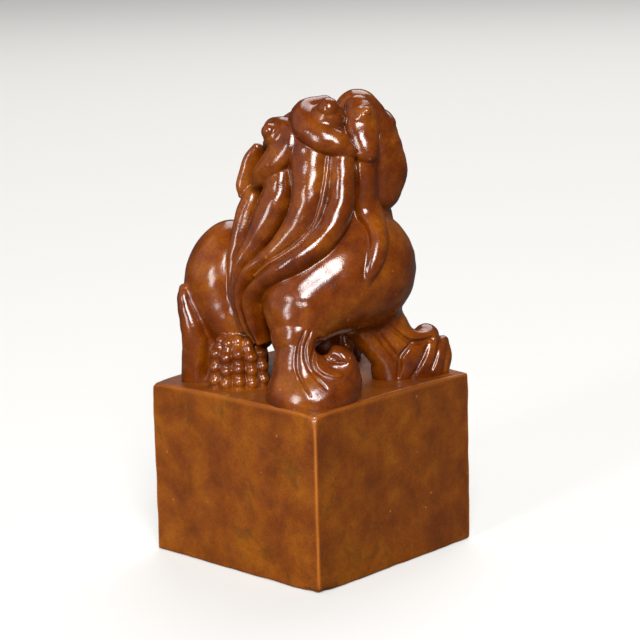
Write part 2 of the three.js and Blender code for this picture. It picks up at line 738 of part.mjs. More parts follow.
const leftLocks = [
  {
    facing: [[-0.9, 0.1, 0], [-0.7, 0.6, 0.2]],
    stations: [
      [-0.05, -7.6, -2.1, 1.21, 0.94],
      [0.29, -9.6, -0.8, 1.26, 1],
      [0.58, -11.5, 1.2, 1.1, 1],
      [0.87, -13.8, 3.2, 0.5, 0.62],
    ],
  },
  {
    facing: [[-0.7, 0.7, 0], [-0.6, 0.8, 0]],
    stations: [
      [0.23, -7.7, 1.9, 1.26, 0.94],
      [0.53, -9.5, 3.3, 1.32, 1],
      [0.84, -11.2, 5, 1.04, 0.94],
      [1.13, -13.2, 6.5, 0.44, 0.56],
    ],
  },
  {
    facing: [[0.6, 0.8, 0], [0.1, 0.95, 0]],
    stations: [
      [0.33, 3.2, 4.4, 1.16, 0.94],
      [0.64, 1.9, 5.2, 1.21, 1],
      [0.93, -0.7, 6.3, 0.99, 0.94],
      [1.19, -4.5, 6.8, 0.44, 0.56],
    ],
  },
];

const crescentLock = {
  facing: [[0.97, -0.1, 0], [0.75, -0.6, -0.1]],
  stations: [
    [-0.13, 7.8, -0.7, 0.83, 0.81],
    [0.08, 7.1, -0.9, 0.83, 0.87],
    [0.28, 6.1, -0.7, 0.96, 0.87],
    [0.42, 6.2, -0.8, 0.99, 0.81],
    [0.53, 7.1, -1.3, 0.77, 0.75],
    [0.66, 7.8, -2.1, 0.66, 0.69],
    [0.78, 7.8, -3, 0.63, 0.69],
    [0.9, 7.3, -4, 0.55, 0.62],
    [1.02, 6.5, -4.8, 0.39, 0.5],
    [1.17, 5.3, -5.4, 0.14, 0.25],
  ],
};

function lockForm({ facing, stations }, mass, grow) {
  const placed = stations.map(([share, x, y, width, thickness]) => {
    return [onMane(share, mass, x, y), width * lockWidth, thickness * lockThickness];
  });
  return stroke(placed, facing, grow);
}

// Colours of the stone: amber on the block, redder where the carving is handled, darker in the hair.

const amber = { color: 0xa8601c, roughness: 0.32 };
const carved = { color: 0x96481a, roughness: 0.26 };
const hair = { color: 0x8a3f18, roughness: 0.24 };

// Every mass, from the foremost to the deepest. Each is cut clear of all that stand before it.

const pieces = [
  ["crown_knob", crownKnobForm, hair],
  ["nape_curl_centre", napeCurlCentreForm, hair],
  ["nape_curl_right", napeCurlRightForm, hair],
  ["nape_curl_left", napeCurlLeftForm, hair],
  ["nape_curl_rear", napeCurlRearForm, hair],
  ["nose", noseForm, carved],
  ["right_eye", (grow) => eyeForm(1, grow), carved],
  ["left_eye", (grow) => eyeForm(-1, grow), carved],
  ["right_brow", (grow) => browForm(1, grow), hair],
  ["left_brow", (grow) => browForm(-1, grow), hair],
  ["right_ear", (grow) => earForm(1, grow), carved],
  ["left_ear", (grow) => earForm(-1, grow), carved],
  ["muzzle", muzzleForm, carved],
  ["lower_jaw", jawForm, carved],
  ["beard", beardForm, hair],
  ["crescent_lock", (grow) => lockForm(crescentLock, chest, grow), hair],
];
rightLocks.forEach((lock, i) => {
  const form = (grow) => lockForm(lock, shoulder, grow);
  pieces.push([`right_mane_lock_${i + 1}`, form, hair]);
});
leftLocks.forEach((lock, i) => {
  const form = (grow) => lockForm(lock, chest, grow);
  pieces.push([`left_mane_lock_${i + 1}`, form, hair]);
});
pieces.push(
  ["right_cheek_ruff", (grow) => cheekForm(1, grow), hair],
  ["left_cheek_ruff", (grow) => cheekForm(-1, grow), hair],
  ["skull", skullForm, carved],
  ["right_forefoot_scroll", rightForefootScrollForm, carved],
  ["right_forefoot", rightForefootForm, carved],
  ["left_forepaw", leftForepawForm, carved],
  ["right_hind_paw", (grow) => hindPawForm(rightHindPaw, -0.8, grow), carved],
  ["left_hind_paw", (grow) => hindPawForm(leftHindPaw, 0.8, grow), carved],
  ["right_foreleg", rightForelegForm, carved],
  ["left_foreleg", leftForelegForm, carved],
  ["right_hock", (grow) => hockForm(rightHindPaw, -1, grow), carved],
  ["left_hock", (grow) => hockForm(leftHindPaw, 1, grow), carved],
  ["tail", tailForm, hair],
  ["spine_ridge", spineForm, carved],
  ["right_shoulder", rightShoulderForm, carved],
  ["right_haunch", (grow) => haunchForm(-1, grow), carved],
  ["left_haunch", (grow) => haunchForm(1, grow), carved],
  ["chest", chestForm, carved],
  ["neck", neckForm, carved],
  ["torso", torsoForm, carved],
);

const seal = new THREE.Group();

function addPiece(name, solid, finish) {
  const material = new THREE.MeshStandardMaterial({ ...finish, metalness: 0 });
  const mesh = new THREE.Mesh(geometryOf(solid), material);
  mesh.name = name;
  seal.add(mesh);
}

addPiece("base_block", blockForm(0).subtract(sealGrooves()), amber);

let taken = blockForm(seam);
pieces.forEach(([name, form, finish]) => {
  addPiece(name, largestOf(form(0).subtract(taken)), finish);
  taken = taken.add(form(seam));
});

export default seal;
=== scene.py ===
from math import cos, pi, radians, sin

import bpy
import numpy as np
from mathutils import Matrix, Vector


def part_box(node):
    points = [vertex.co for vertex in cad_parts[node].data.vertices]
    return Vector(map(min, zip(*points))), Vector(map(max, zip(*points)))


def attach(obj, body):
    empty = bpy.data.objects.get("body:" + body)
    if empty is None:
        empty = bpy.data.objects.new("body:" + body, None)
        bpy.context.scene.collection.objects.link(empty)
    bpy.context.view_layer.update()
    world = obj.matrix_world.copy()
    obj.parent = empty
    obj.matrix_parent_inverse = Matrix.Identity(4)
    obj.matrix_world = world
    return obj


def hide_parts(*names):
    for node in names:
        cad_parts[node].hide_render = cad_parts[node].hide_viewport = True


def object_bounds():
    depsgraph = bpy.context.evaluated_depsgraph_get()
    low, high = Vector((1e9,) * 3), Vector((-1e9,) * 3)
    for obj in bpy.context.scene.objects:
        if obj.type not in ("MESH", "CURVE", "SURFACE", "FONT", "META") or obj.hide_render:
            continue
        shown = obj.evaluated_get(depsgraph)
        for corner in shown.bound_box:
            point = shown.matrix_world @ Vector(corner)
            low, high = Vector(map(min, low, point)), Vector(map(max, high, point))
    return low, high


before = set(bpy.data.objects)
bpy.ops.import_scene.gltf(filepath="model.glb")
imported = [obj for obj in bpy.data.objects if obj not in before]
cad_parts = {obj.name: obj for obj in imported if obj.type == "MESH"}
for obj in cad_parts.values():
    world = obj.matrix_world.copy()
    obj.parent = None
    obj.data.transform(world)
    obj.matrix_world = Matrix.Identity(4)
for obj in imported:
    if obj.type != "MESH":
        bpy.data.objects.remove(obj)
cad_low, cad_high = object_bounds()
mm = 0.001

# The seal block is a square prism of mottled amber soapstone, sawn, ground flat and rubbed down.
# Its edges are a narrow worn bevel, its top swells a little, and one lower corner is chipped.
# The seal face below is bare within a cut border line, with a turn of key fret in each corner.
half, _, block_top = np.array(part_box("base_block")[1]) / mm
edge_radius = 0.26
top_swell = 0.42
relief_depth = 0.5
border_inset = 1.2
border_groove = 0.9
fret_line = 0.8
near_corner = (half, -half)
edge_steps = [0, 0.05, 0.1, 0.16, 0.24, 0.34, 0.5, 0.75, 1.1]
# A chip: where it is, the way that its face looks, and how deep it goes.
chips = [
    ((half, -half, 0), (0.45, -0.7, -0.55), 0.5),
    ((half - 2.6, -half, 0), (0.1, -0.75, -0.65), 0.28),
    ((half, -half + 2.4, 0), (0.75, -0.1, -0.65), 0.3),
]
chip_reach = 1.8


def waves(x, y, z, size, seed, count=9):
    """A smooth unevenness from about -1 to 1, whose bumps are size mm across."""
    rng = np.random.default_rng(seed)
    total = 0.0
    for _ in range(count):
        way = rng.normal(size=3)
        way *= 2 * pi / (size * rng.uniform(0.7, 1.6) * np.linalg.norm(way))
        total = total + np.sin(way[0] * x + way[1] * y + way[2] * z + rng.uniform(0, 2 * pi))
    return total / np.sqrt(count)


def seal_grooves():
    """The border line and the corner frets, as boxes of x low, x high, y low, y high."""
    outer = half - border_inset
    inner = outer - border_groove
    boxes = []
    for side in (-1, 1):
        low, high = sorted((side * inner, side * outer))
        boxes += [(low, high, -outer, outer), (-outer, outer, low, high)]
    last = outer - border_groove - 1.5 * fret_line
    near = last - 4 * fret_line
    reach = 2.5 * fret_line
    long = (near + last) / 2
    line = fret_line / 2
    for sx in (-1, 1):
        for sy in (-1, 1):
            strokes = [
                (sx * long, reach, sy * near, line),
                (sx * near, line, sy * long, reach),
                (sx * (long - fret_line), reach - fret_line, sy * last, line),
            ]
            for x, wide, y, deep in strokes:
                boxes.append((x - wide, x + wide, y - deep, y + deep))
    return boxes


def grid_lines(low, high, spacing, edges, extra=()):
    """Positions along one side: close together by the edges, even between them, and at the extras."""
    near = [low + step for step in edges] + [high - step for step in edges]
    count = round((high - low - 2 * edges[-1]) / spacing)
    even = np.linspace(low + edges[-1], high - edges[-1], count + 1)
    lines = np.unique(np.round(np.concatenate([near, even, np.array(extra)]), 3))
    return lines[np.concatenate([[True], np.diff(lines) > 0.02])]


def box_quads(nx, ny, nz):
    """The faces of a box of lattice points, as quads of point numbers, all facing out."""
    def number(i, j, k):
        return (i * ny + j) * nz + k

    def sheet(u, v, point):
        a, b = np.meshgrid(np.arange(u - 1), np.arange(v - 1), indexing="ij")
        corners = [point(a, b), point(a + 1, b), point(a + 1, b + 1), point(a, b + 1)]
        return np.stack([corner.ravel() for corner in corners], 1)

    return np.concatenate([
        sheet(nx, ny, lambda a, b: number(a, b, nz - 1)),
        sheet(nx, ny, lambda a, b: number(a, b, 0))[:, ::-1],
        sheet(nx, nz, lambda a, b: number(a, 0, b)),
        sheet(nx, nz, lambda a, b: number(a, ny - 1, b))[:, ::-1],
        sheet(ny, nz, lambda a, b: number(nx - 1, a, b)),
        sheet(ny, nz, lambda a, b: number(0, a, b))[:, ::-1],
    ])


def worn_block(points, on_seal_face):
    """Moves the points of a sharp box to where the worn block's surface is."""
    x, y, z = points.T
    to_near = np.hypot(x - near_corner[0], y - near_corner[1])
    to_left = np.hypot(x + half, y + half)
    upper = np.clip((z - block_top + 3) / 3, 0, 1)
    lower = np.clip((3 - z) / 3, 0, 1)
    wear = 1 + 0.35 * waves(x, y, z, 3.0, 11)
    wear = wear + upper * (2.2 * np.exp(-((to_near / 1.4) ** 2)) + 2.0 * np.exp(-((to_left / 1.6) ** 2)))
    wear = wear + lower * 1.8 * np.exp(-((to_near / 1.2) ** 2))
    radius = (edge_radius * wear)[:, None]
    low = np.array([-half, -half, 0]) + radius
    high = np.array([half, half, block_top]) - radius
    core = np.clip(points, low, high)
    out = points - core
    reach = np.linalg.norm(out, axis=1, keepdims=True)
    worn = np.where(reach > 1e-9, core + out * radius / np.maximum(reach, 1e-9), points)
    for at, facing, depth in chips:
        facing = np.array(facing) / np.linalg.norm(facing)
        past = (worn - np.array(at)) @ facing + depth
        past += 0.08 * waves(x, y, z, 0.9, 12)
        close = np.exp(-((np.linalg.norm(points - np.array(at), axis=1) / chip_reach) ** 4))
        worn -= np.outer(np.maximum(past, 0) * close, facing)
    swell = top_swell * (1 - (x * y / half**2) ** 2) * np.clip((z - block_top + 6) / 6, 0, 1) ** 2
    worn[:, 2] += np.where(on_seal_face, 0, swell)
    for axis, side in enumerate((x, y)):
        outward = np.where(np.abs(np.abs(side) - half) < 1e-6, np.sign(side), 0)
        worn[:, axis] -= outward * np.maximum(0.01, 0.04 + 0.03 * waves(x, y, z, 7.0, 13 + axis))
    return worn


def block_shape():
    """The block's points and faces: a lattice close by the edges and the grooves, then worn."""
    lip = 0.04
    boxes = seal_grooves()
    sides = {round(side + step, 3) for box in boxes for side in box for step in (-lip, lip)}
    across = grid_lines(-half, half, 0.5, edge_steps, sorted(sides))
    up = grid_lines(0, block_top, 0.6, edge_steps)
    n, m = len(across), len(up)
    quads = box_quads(n, n, m)
    used, quads = np.unique(quads, return_inverse=True)
    quads = quads.reshape(-1, 4)
    i, j, k = used // (n * m), used // m % n, used % m
    points = np.stack([across[i], across[j], up[k]], 1)
    on_seal_face = k == 0
    cut = np.zeros(len(points), bool)
    for x_low, x_high, y_low, y_high in boxes:
        inside_x = (points[:, 0] > x_low) & (points[:, 0] < x_high)
        cut |= on_seal_face & inside_x & (points[:, 1] > y_low) & (points[:, 1] < y_high)
    worn = worn_block(points, on_seal_face)
    worn[cut, 2] += relief_depth
    return worn, quads


def make_mesh(name, points, quads, normals=None, values=None):
    """A mesh object from points in mm, with its corner normals and its named point values."""
    mesh = bpy.data.meshes.new(name)
    mesh.vertices.add(len(points))
    mesh.vertices.foreach_set("co", (points * mm).astype(np.float32).ravel())
    mesh.loops.add(quads.size)
    mesh.loops.foreach_set("vertex_index", quads.astype(np.int32).ravel())
    mesh.polygons.add(len(quads))
    mesh.polygons.foreach_set("loop_start", np.arange(0, quads.size, 4, dtype=np.int32))
    mesh.update(calc_edges=True)
    mesh.validate()
    mesh.polygons.foreach_set("use_smooth", np.ones(len(quads), bool))
    for key, value in (values or {}).items():
        layer = mesh.attributes.new(key, "FLOAT", "POINT")
        layer.data.foreach_set("value", value.astype(np.float32))
    if normals is not None:
        mesh.normals_split_custom_set(normals)
    piece = bpy.data.objects.new(name, mesh)
    bpy.context.scene.collection.objects.link(piece)
    return piece


def node(tree, kind, settings=None, **inputs):
    """One shader node. An input is named as its socket, with _ for a space, and is a value or a socket."""
    made = tree.nodes.new("ShaderNode" + kind)
    for key, value in (settings or {}).items():
        setattr(made, key, value)
    for key, value in inputs.items():
        socket = made.inputs[int(key[1:]) if key[0] == "_" else key.replace("_", " ")]
        if isinstance(value, bpy.types.NodeSocket):
            tree.links.new(value, socket)
        else:
            socket.default_value = value
    return made


def ramp(tree, factor, stops):
    """A colour ramp over stops of position and colour."""
    made = node(tree, "ValToRGB", Fac=factor)
    elements = made.color_ramp.elements
    while len(elements) < len(stops):
        elements.new(0.5)
    for element, (position, colour) in zip(elements, stops):
        element.position = position
        element.color = (*colour, 1)
    return made.outputs["Color"]


def mix(tree, factor, first, second, blend="MIX"):
    """Two colours mixed by a factor."""
    made = node(tree, "Mix", {"data_type": "RGBA", "blend_type": blend, "clamp_factor": True})
    for index, value in ((0, factor), (6, first), (7, second)):
        if isinstance(value, bpy.types.NodeSocket):
            tree.links.new(value, made.inputs[index])
        else:
            made.inputs[index].default_value = value if index == 0 else (*value, 1)
    return made.outputs[2]


def spread(tree, value, low, high):
    """A value stretched so that low gives 0 and high gives 1, held between them."""
    return node(tree, "MapRange", {"clamp": True}, Value=value, From_Min=low, From_Max=high).outputs[0]


def stone(name, pale, body, deep, polish, clouding):
    """Soapstone: clouded body colour, olive clouds, pale flecks, dirt and painted shade in creases, pale wear
    that on the block's edges is also a painted highlight, a hand-rubbed polish.
    """
    material = bpy.data.materials.new(name)
    material.use_nodes = True
    tree = material.node_tree
    skin = tree.nodes["Principled BSDF"]
    place = node(tree, "TexCoord").outputs["Object"]

    def noise(scale, detail=3.0, roughness=0.55, distortion=0.0):
        made = node(tree, "TexNoise", Vector=place, Scale=scale, Detail=detail,
                    Roughness=roughness, Distortion=distortion)
        return made.outputs["Fac"]

    def times(first, second, plus=0.0):
        return node(tree, "Math", {"operation": "MULTIPLY_ADD"}, _0=first, _1=second, _2=plus).outputs[0]

    colour = ramp(tree, noise(190, 6.0, 0.62, 0.15), [(0.34, deep), (0.5, body), (0.66, pale)])
    olive = tuple(0.5 * part * tint for part, tint in zip(body, (0.9, 1.35, 1.2)))
    colour = mix(tree, times(spread(tree, noise(170, 5.0, 0.65, 1.2), 0.54, 0.76), clouding), colour, olive)
    grain = [(0, (0.35, 0.3, 0.25)), (1, (1, 0.95, 0.9))]
    grain = ramp(tree, spread(tree, noise(3600, 2.0), 0.35, 0.65), grain)
    colour = mix(tree, 0.35, colour, grain, "MULTIPLY")
    cells = node(tree, "TexVoronoi", Vector=place, Scale=620.0, Randomness=1.0).outputs["Distance"]
    flecks = times(spread(tree, cells, 0.16, 0.05), spread(tree, noise(400), 0.57, 0.64))
    colour = mix(tree, flecks, colour, tuple(min(1.0, 1.5 * part + 0.03) for part in pale))
    # Creases are darkened towards dark dirt with pale specks. This is real dirt, and also painted shade in
    # the creases and hollows.
    crevice = node(tree, "Attribute", {"attribute_name": "crevice"}).outputs["Fac"]
    dirt_and_painted_shade = times(crevice, node(tree, "MapRange", Value=noise(900, 3.0), To_Min=0.7, To_Max=1.2).outputs[0])
    dirt_and_shade_colour = mix(tree, spread(tree, noise(2200, 3.0), 0.52, 0.66), (0.014, 0.008, 0.005), (0.09, 0.075, 0.06))
    colour = mix(tree, dirt_and_painted_shade, colour, dirt_and_shade_colour)
    # The wear value paints the colour pale: rubbed wear on the carving's ridges, and on the block's edges
    # also a painted highlight.
    worn = node(tree, "Attribute", {"attribute_name": "wear"}).outputs["Fac"]
    colour = mix(tree, worn, colour, tuple(min(1.0, 1.55 * part + 0.012) for part in pale))
    tree.links.new(colour, skin.inputs["Base Color"])

    rough = node(tree, "MapRange", Value=noise(320, 4.0, 0.6), From_Min=0.3, From_Max=0.7,
                 To_Min=polish, To_Max=polish + 0.1).outputs[0]
    tree.links.new(times(crevice, 0.2, rough), skin.inputs["Roughness"])
    relief = times(noise(4200, 3.0), 0.6, times(noise(650, 3.0), 0.5))
    bump = node(tree, "Bump", Height=relief, Strength=0.2, Distance=0.00012)
    tree.links.new(bump.outputs["Normal"], skin.inputs["Normal"])
    skin.inputs["IOR"].default_value = 1.6
    return material


block_stone = stone(
    "amber_soapstone", pale=(0.36, 0.1, 0.001), body=(0.27, 0.063, 0.0008), deep=(0.18, 0.037, 0.0006),
    polish=0.3, clouding=0.8,
)
block_points, block_quads = block_shape()

# The carving stands on the block and is cut from the same stone, so all of it is shaped as one lump on a
# grid of distances from the stone's surface. Each mass is added in turn with a soft or a sharp join, and
# the grid remembers which mass every grain of stone belongs to.
voxel = 0.17
under = 3.0
sunk = 0.35
grid_low = np.array([-half - 0.6, -half - 0.6, block_top - under])
grid_high = np.array([half + 0.6, half + 0.6, cad_high[2] / mm + 0.6])
axes = [np.arange(low, high, voxel, dtype=np.float32) for low, high in zip(grid_low, grid_high)]
far = 9.0
stone_at = np.full([len(axis) for axis in axes], far, np.float32)
nearest = stone_at.copy()
runner_up = stone_at.copy()
owner = np.zeros(stone_at.shape, np.uint8)
masses = []
margin = 3.0
groove_soft = 0.12


def above(x, y, height):
    """A point given from the middle of the block's top."""
    return np.array([x, y, block_top + height])


def window(lines, low, high):
    """The part of a grid between two corners."""
    return tuple(slice(*np.searchsorted(line, (a, b))) for line, a, b in zip(lines, low, high))


def reached(form, lines):
    """The part of a grid that a form reaches, and the form's distances there."""
    part = window(lines, form.low - margin, form.high + margin)
    x, y, z = (line[piece] for line, piece in zip(lines, part))
    return part, form.distances(x[:, None, None], y[None, :, None], z[None, None, :])


def claim(part, mass, number):
    """Notes which grains of stone belong to a mass, and how near the next mass is."""
    ours = mass < nearest[part]
    runner_up[part] = np.where(ours, nearest[part], np.minimum(runner_up[part], mass))
    nearest[part] = np.where(ours, mass, nearest[part])
    owner[part] = np.where(ours, number, owner[part])


def soft_min(a, b, soft):
    """The union of two distances, rounded over soft mm."""
    if soft <= 0:
        return np.minimum(a, b)
    near = np.maximum(soft - np.abs(a - b), 0)
    return np.minimum(a, b) - near * near / (4 * soft)


class Ball:
    """An egg of stone: its middle, its three radii, and the turn of its first two axes."""

    def __init__(self, middle, radii, turn=0.0):
        self.middle, self.radii, self.turn = np.array(middle, float), np.array(radii, float), turn
        reach = max(self.radii) if turn else self.radii
        self.low, self.high = self.middle - reach, self.middle + reach

    def distances(self, x, y, z):
        x, y, z = (axis - at for axis, at in zip((x, y, z), self.middle))
        c, s = np.float32(cos(self.turn)), np.float32(sin(self.turn))
        local = (c * x + s * y, c * y - s * x, z)
        shares = [(part / r) ** 2 for part, r in zip(local, self.radii.astype(np.float32))]
        scaled = np.sqrt(sum(shares) + 1e-8)
        slope = np.sqrt(sum(share / r**2 for share, r in zip(shares, self.radii.astype(np.float32))) + 1e-8)
        return scaled * (scaled - 1) / slope


class Stroke:
    """A length of stone drawn along a smooth curve through stations, with an oval section.

    A station is a point, the half width across the face of the stroke and the half thickness. The face
    points one way, or turns from one way at the start to another at the end.
    """

    def __init__(self, stations, facing, per_span=6):
        points = np.array([station[0] for station in stations], float)
        sizes = np.array([station[1:3] for station in stations], float)
        padded = np.concatenate([[2 * points[0] - points[1]], points, [2 * points[-1] - points[-2]]])
        middles, widths = [], []
        for i in range(len(points) - 1):
            a, b, c, d = padded[i : i + 4]
            for t in np.arange(per_span) / per_span:
                square, cube = 2 * a - 5 * b + 4 * c - d, 3 * b - a - 3 * c + d
                middles.append((2 * b + (c - a) * t + square * t**2 + cube * t**3) / 2)
                widths.append(sizes[i] + (sizes[i + 1] - sizes[i]) * t * t * (3 - 2 * t))
        self.middles = np.array(middles + [points[-1]])
        self.sizes = np.array(widths + [sizes[-1]])
        along = np.gradient(self.middles, axis=0)
        self.along = along / np.linalg.norm(along, axis=1, keepdims=True)
        facing = np.atleast_2d(np.array(facing, float))
        share = np.linspace(0, 1, len(self.middles))[:, None]
        facing = facing[0] * (1 - share) + facing[-1] * share
        out = facing - self.along * (self.along * facing).sum(1, keepdims=True)
        self.out = out / np.linalg.norm(out, axis=1, keepdims=True)
        self.across = np.cross(self.out, self.along)
        reach = self.sizes.max()
        self.low, self.high = self.middles.min(0) - reach, self.middles.max(0) + reach

    def on_skin(self, share, sideways, lift=0.0):
        """A point on the stroke's skin: a share of its length, and from -1 to 1 across its face."""
        at = share * (len(self.middles) - 1)
        i = min(int(at), len(self.middles) - 2)
        t = at - i
        middle, across, out = (
            grid[i] * (1 - t) + grid[i + 1] * t for grid in (self.middles, self.across, self.out)
        )
        wide, thick = self.sizes[i] * (1 - t) + self.sizes[i + 1] * t
        return middle + across * wide * sideways + out * (thick * np.sqrt(max(0, 1 - sideways**2)) + lift)

    def distances(self, x, y, z):
        total = np.full(np.broadcast_shapes(x.shape, y.shape, z.shape), far, np.float32)
        flat = [x.ravel(), y.ravel(), z.ravel()]
        for i in range(len(self.middles) - 1):
            a, b = self.middles[i], self.middles[i + 1]
            length = np.linalg.norm(b - a)
            reach = self.sizes[i : i + 2].max() + margin
            low, high = np.minimum(a, b) - reach, np.maximum(a, b) + reach
            part = window(flat, low, high)
            if any(piece.start >= piece.stop for piece in part):
                continue
            px, py, pz = (axis[piece] - p for axis, piece, p in zip(flat, part, a))
            px, py, pz = px[:, None, None], py[None, :, None], pz[None, None, :]

            def along(way):
                return np.float32(way[0]) * px + np.float32(way[1]) * py + np.float32(way[2]) * pz

            run = (b - a) / length
            s = along(run)
            t = np.clip(s / length, 0, 1)
            out = self.out[i] + self.out[i + 1]
            out = out - run * (out @ run)
            out /= np.linalg.norm(out)
            wide = self.sizes[i][0] + (self.sizes[i + 1][0] - self.sizes[i][0]) * t
            thick = self.sizes[i][1] + (self.sizes[i + 1][1] - self.sizes[i][1]) * t
            cap = np.minimum(wide, thick)
            sideways = along(np.cross(out, run)) / wide
            q = (sideways**2, (along(out) / thick) ** 2, ((s - t * length) / cap) ** 2)
            scaled = np.sqrt(q[0] + q[1] + q[2] + 1e-8)
            slope = np.sqrt(q[0] / wide**2 + q[1] / thick**2 + q[2] / cap**2 + 1e-8)
            total[part] = np.minimum(total[part], scaled * (scaled - 1) / slope)
        return total


def drawn(place, stations, facing):
    """A stroke through places, each with its half width and half thickness there."""
    return Stroke([(place(*at), wide, thick) for *at, wide, thick in stations], facing)


def carve(name, forms, soft=0.6, join=0.6, cuts=()):
    """Adds one mass: its forms melt together over soft mm, are cut, and meet the rest over join mm."""
    low = np.min([form.low for form in forms], 0) - margin
    high = np.max([form.high for form in forms], 0) + margin
    part = window(axes, low, high)
    local = [axis[piece] for axis, piece in zip(axes, part)]
    mass = np.full([len(axis) for axis in local], far, np.float32)
    for form in forms:
        inner, distance = reached(form, local)
        mass[inner] = soft_min(mass[inner], distance, soft)
    for form in cuts:
        inner, distance = reached(form, local)
        mass[inner] = -soft_min(-mass[inner], distance, groove_soft)
    masses.append(name)
    stone_at[part] = soft_min(stone_at[part], mass, join)
    claim(part, mass, len(masses))


corner_steps = [(a, b, c) for a in (0, 1) for b in (0, 1) for c in (0, 1)]


def sample(values, points):
    """The grid's value at points, taken between its eight neighbours."""
    at = (points - grid_low) / voxel
    at = np.clip(at, 0, np.array(values.shape) - 1.001)
    base = at.astype(int)
    t = (at - base).astype(np.float32)
    total = 0
    for a, b, c in corner_steps:
        weight = np.abs(1 - a - t[:, 0]) * np.abs(1 - b - t[:, 1]) * np.abs(1 - c - t[:, 2])
        total = total + weight * values[base[:, 0] + a, base[:, 1] + b, base[:, 2] + c]
    return total


def on_stone(point, lift=0.0):
    """A point brought to the skin of the stone carved so far, or lift mm above it."""
    point = np.array(point, float)
    h = 0.3
    for _ in range(5):
        near = sample(stone_at, np.concatenate([[point], point + h * np.eye(3), point - h * np.eye(3)]))
        slope = (near[1:4] - near[4:7]) / (2 * h)
        point -= slope * (near[0] - lift) / max(slope @ slope, 0.2)
    return point


def hollow(forms, soft=groove_soft):
    """Cuts forms out of whatever stone they cross."""
    for form in forms:
        part, distance = reached(form, axes)
        stone_at[part] = -soft_min(-stone_at[part], distance, soft)


def incise(place, lines, facing, soft=groove_soft):
    """Cuts fine lines into the skin. A line is places near the skin, each with its half width and depth."""
    for line in lines:
        stations = [(on_stone(place(*at), 0.12), wide, deep + 0.12) for *at, wide, deep in line]
        hollow([Stroke(stations, facing, 4)], soft)


def score(stroke, sideways, start, end, wide, deep):
    """A groove along a stroke's skin, sideways of its middle, that fades out at both ends."""
    stations = []
    steps = 6
    for i in range(steps + 1):
        share = i / steps
        fade = max(0.25, sin(pi * min(max(share, 0.08), 0.92)) ** 0.5)
        point = stroke.on_skin(start + (end - start) * share, sideways)
        stations.append((point, wide * fade, deep * fade))
    middle = len(stroke.out) // 2
    return Stroke(stations, stroke.out[middle], 3)


# The barrel of the body, the deep chest and the rump are smooth rounded masses that flow together, with a
# web of stone down behind the mane. A row of low beads runs down the spine.
body_height = 14.6
chest_low, chest_high = (np.array(corner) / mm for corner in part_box("chest"))
chest = np.array([(chest_low[0] + chest_high[0]) / 2, 2.0, body_height + 0.8])
chest_radius = (chest_high[0] - chest_low[0]) / 2
rump = np.array([-8.2, 0.2, body_height])
barrel_radius = 6.7

carve("torso", [
    drawn(above, [
        (rump[0] - 0.4, rump[1], rump[2], barrel_radius, barrel_radius),
        (-2.6, 0.2, body_height + 0.2, barrel_radius - 0.3, barrel_radius),
        (chest[0] - 3.4, chest[1] - 1, chest[2], barrel_radius - 0.3, barrel_radius),
    ], (0, 0, 1)),
    drawn(above, [
        (-3.5, -6.4, body_height + 2.0, 2.7, 2.7), (-3.2, -7.0, body_height - 1.9, 3.1, 3.1),
        (-2.9, -7.0, 9.2, 2.9, 2.9), (-2.8, -6.4, 6.6, 1.9, 1.9),
    ], (0, -1, 0)),
], soft=2.0)
carve("chest", [Ball(above(*chest), [chest_radius] * 3)], join=1.5)

spine_beads = 5
spine_pitch = 2.2
spine = []
for i in range(spine_beads):
    x = rump[0] - 3.6 + i * spine_pitch
    height = body_height + barrel_radius - 0.45 - 0.1 * (i - 2.4) ** 2
    spine.append(Ball(above(x, rump[1], height), (1.25, 1.3, 0.95)))
carve("spine_ridge", spine, soft=0.25, join=0.4)

# Each hind leg is a round haunch against the barrel, an upright hock like a fin behind it, and a fist of a
# paw in front. The paw's five toes are cut as columns of beads, darkened between them by dirt and painted
# shade.
haunch_height = body_height - 2.0
hock_height = 12.4
hind_paw_radius = 4.9
hind_paw_height = 7.4
hind_paw_from_side = (9.9, 6.9)


def fist(middle, radius, height, pointing, toes, beads, fan=1.9):
    """A round paw with a fan of toes. Each toe runs over the knuckle to the ground as a row of beads."""
    x, y = middle
    forms = [Ball(above(x, y, height * 0.48), (radius * 0.8, radius * 0.8, height * 0.5))]
    wide = radius * fan / toes / 2
    for i in range(toes):
        turn = pointing + (i - (toes - 1) / 2) * fan / toes
        way = np.array([cos(turn), sin(turn)])

        def out(reach, up):
            return above(x + way[0] * radius * reach, y + way[1] * radius * reach, height * up)

        toe = drawn(out, [
            (0.42, 0.93, wide * 0.8, wide * 0.8), (0.78, 0.68, wide * 0.85, wide * 0.85),
            (0.86, 0.36, wide * 0.85, wide * 0.85), (0.9, 0.05, wide * 0.9, wide * 0.85),
        ], (way[0], way[1], 0.4))
        forms.append(toe)
        for j in range(beads):
            size = wide * (1.02 - 0.05 * j)
            place = toe.on_skin((j + 0.55 + 0.2 * (i % 2)) / beads * 0.97, 0, -wide * 0.55)
            forms.append(Ball(place, (size, size, size * 0.92)))
    return forms


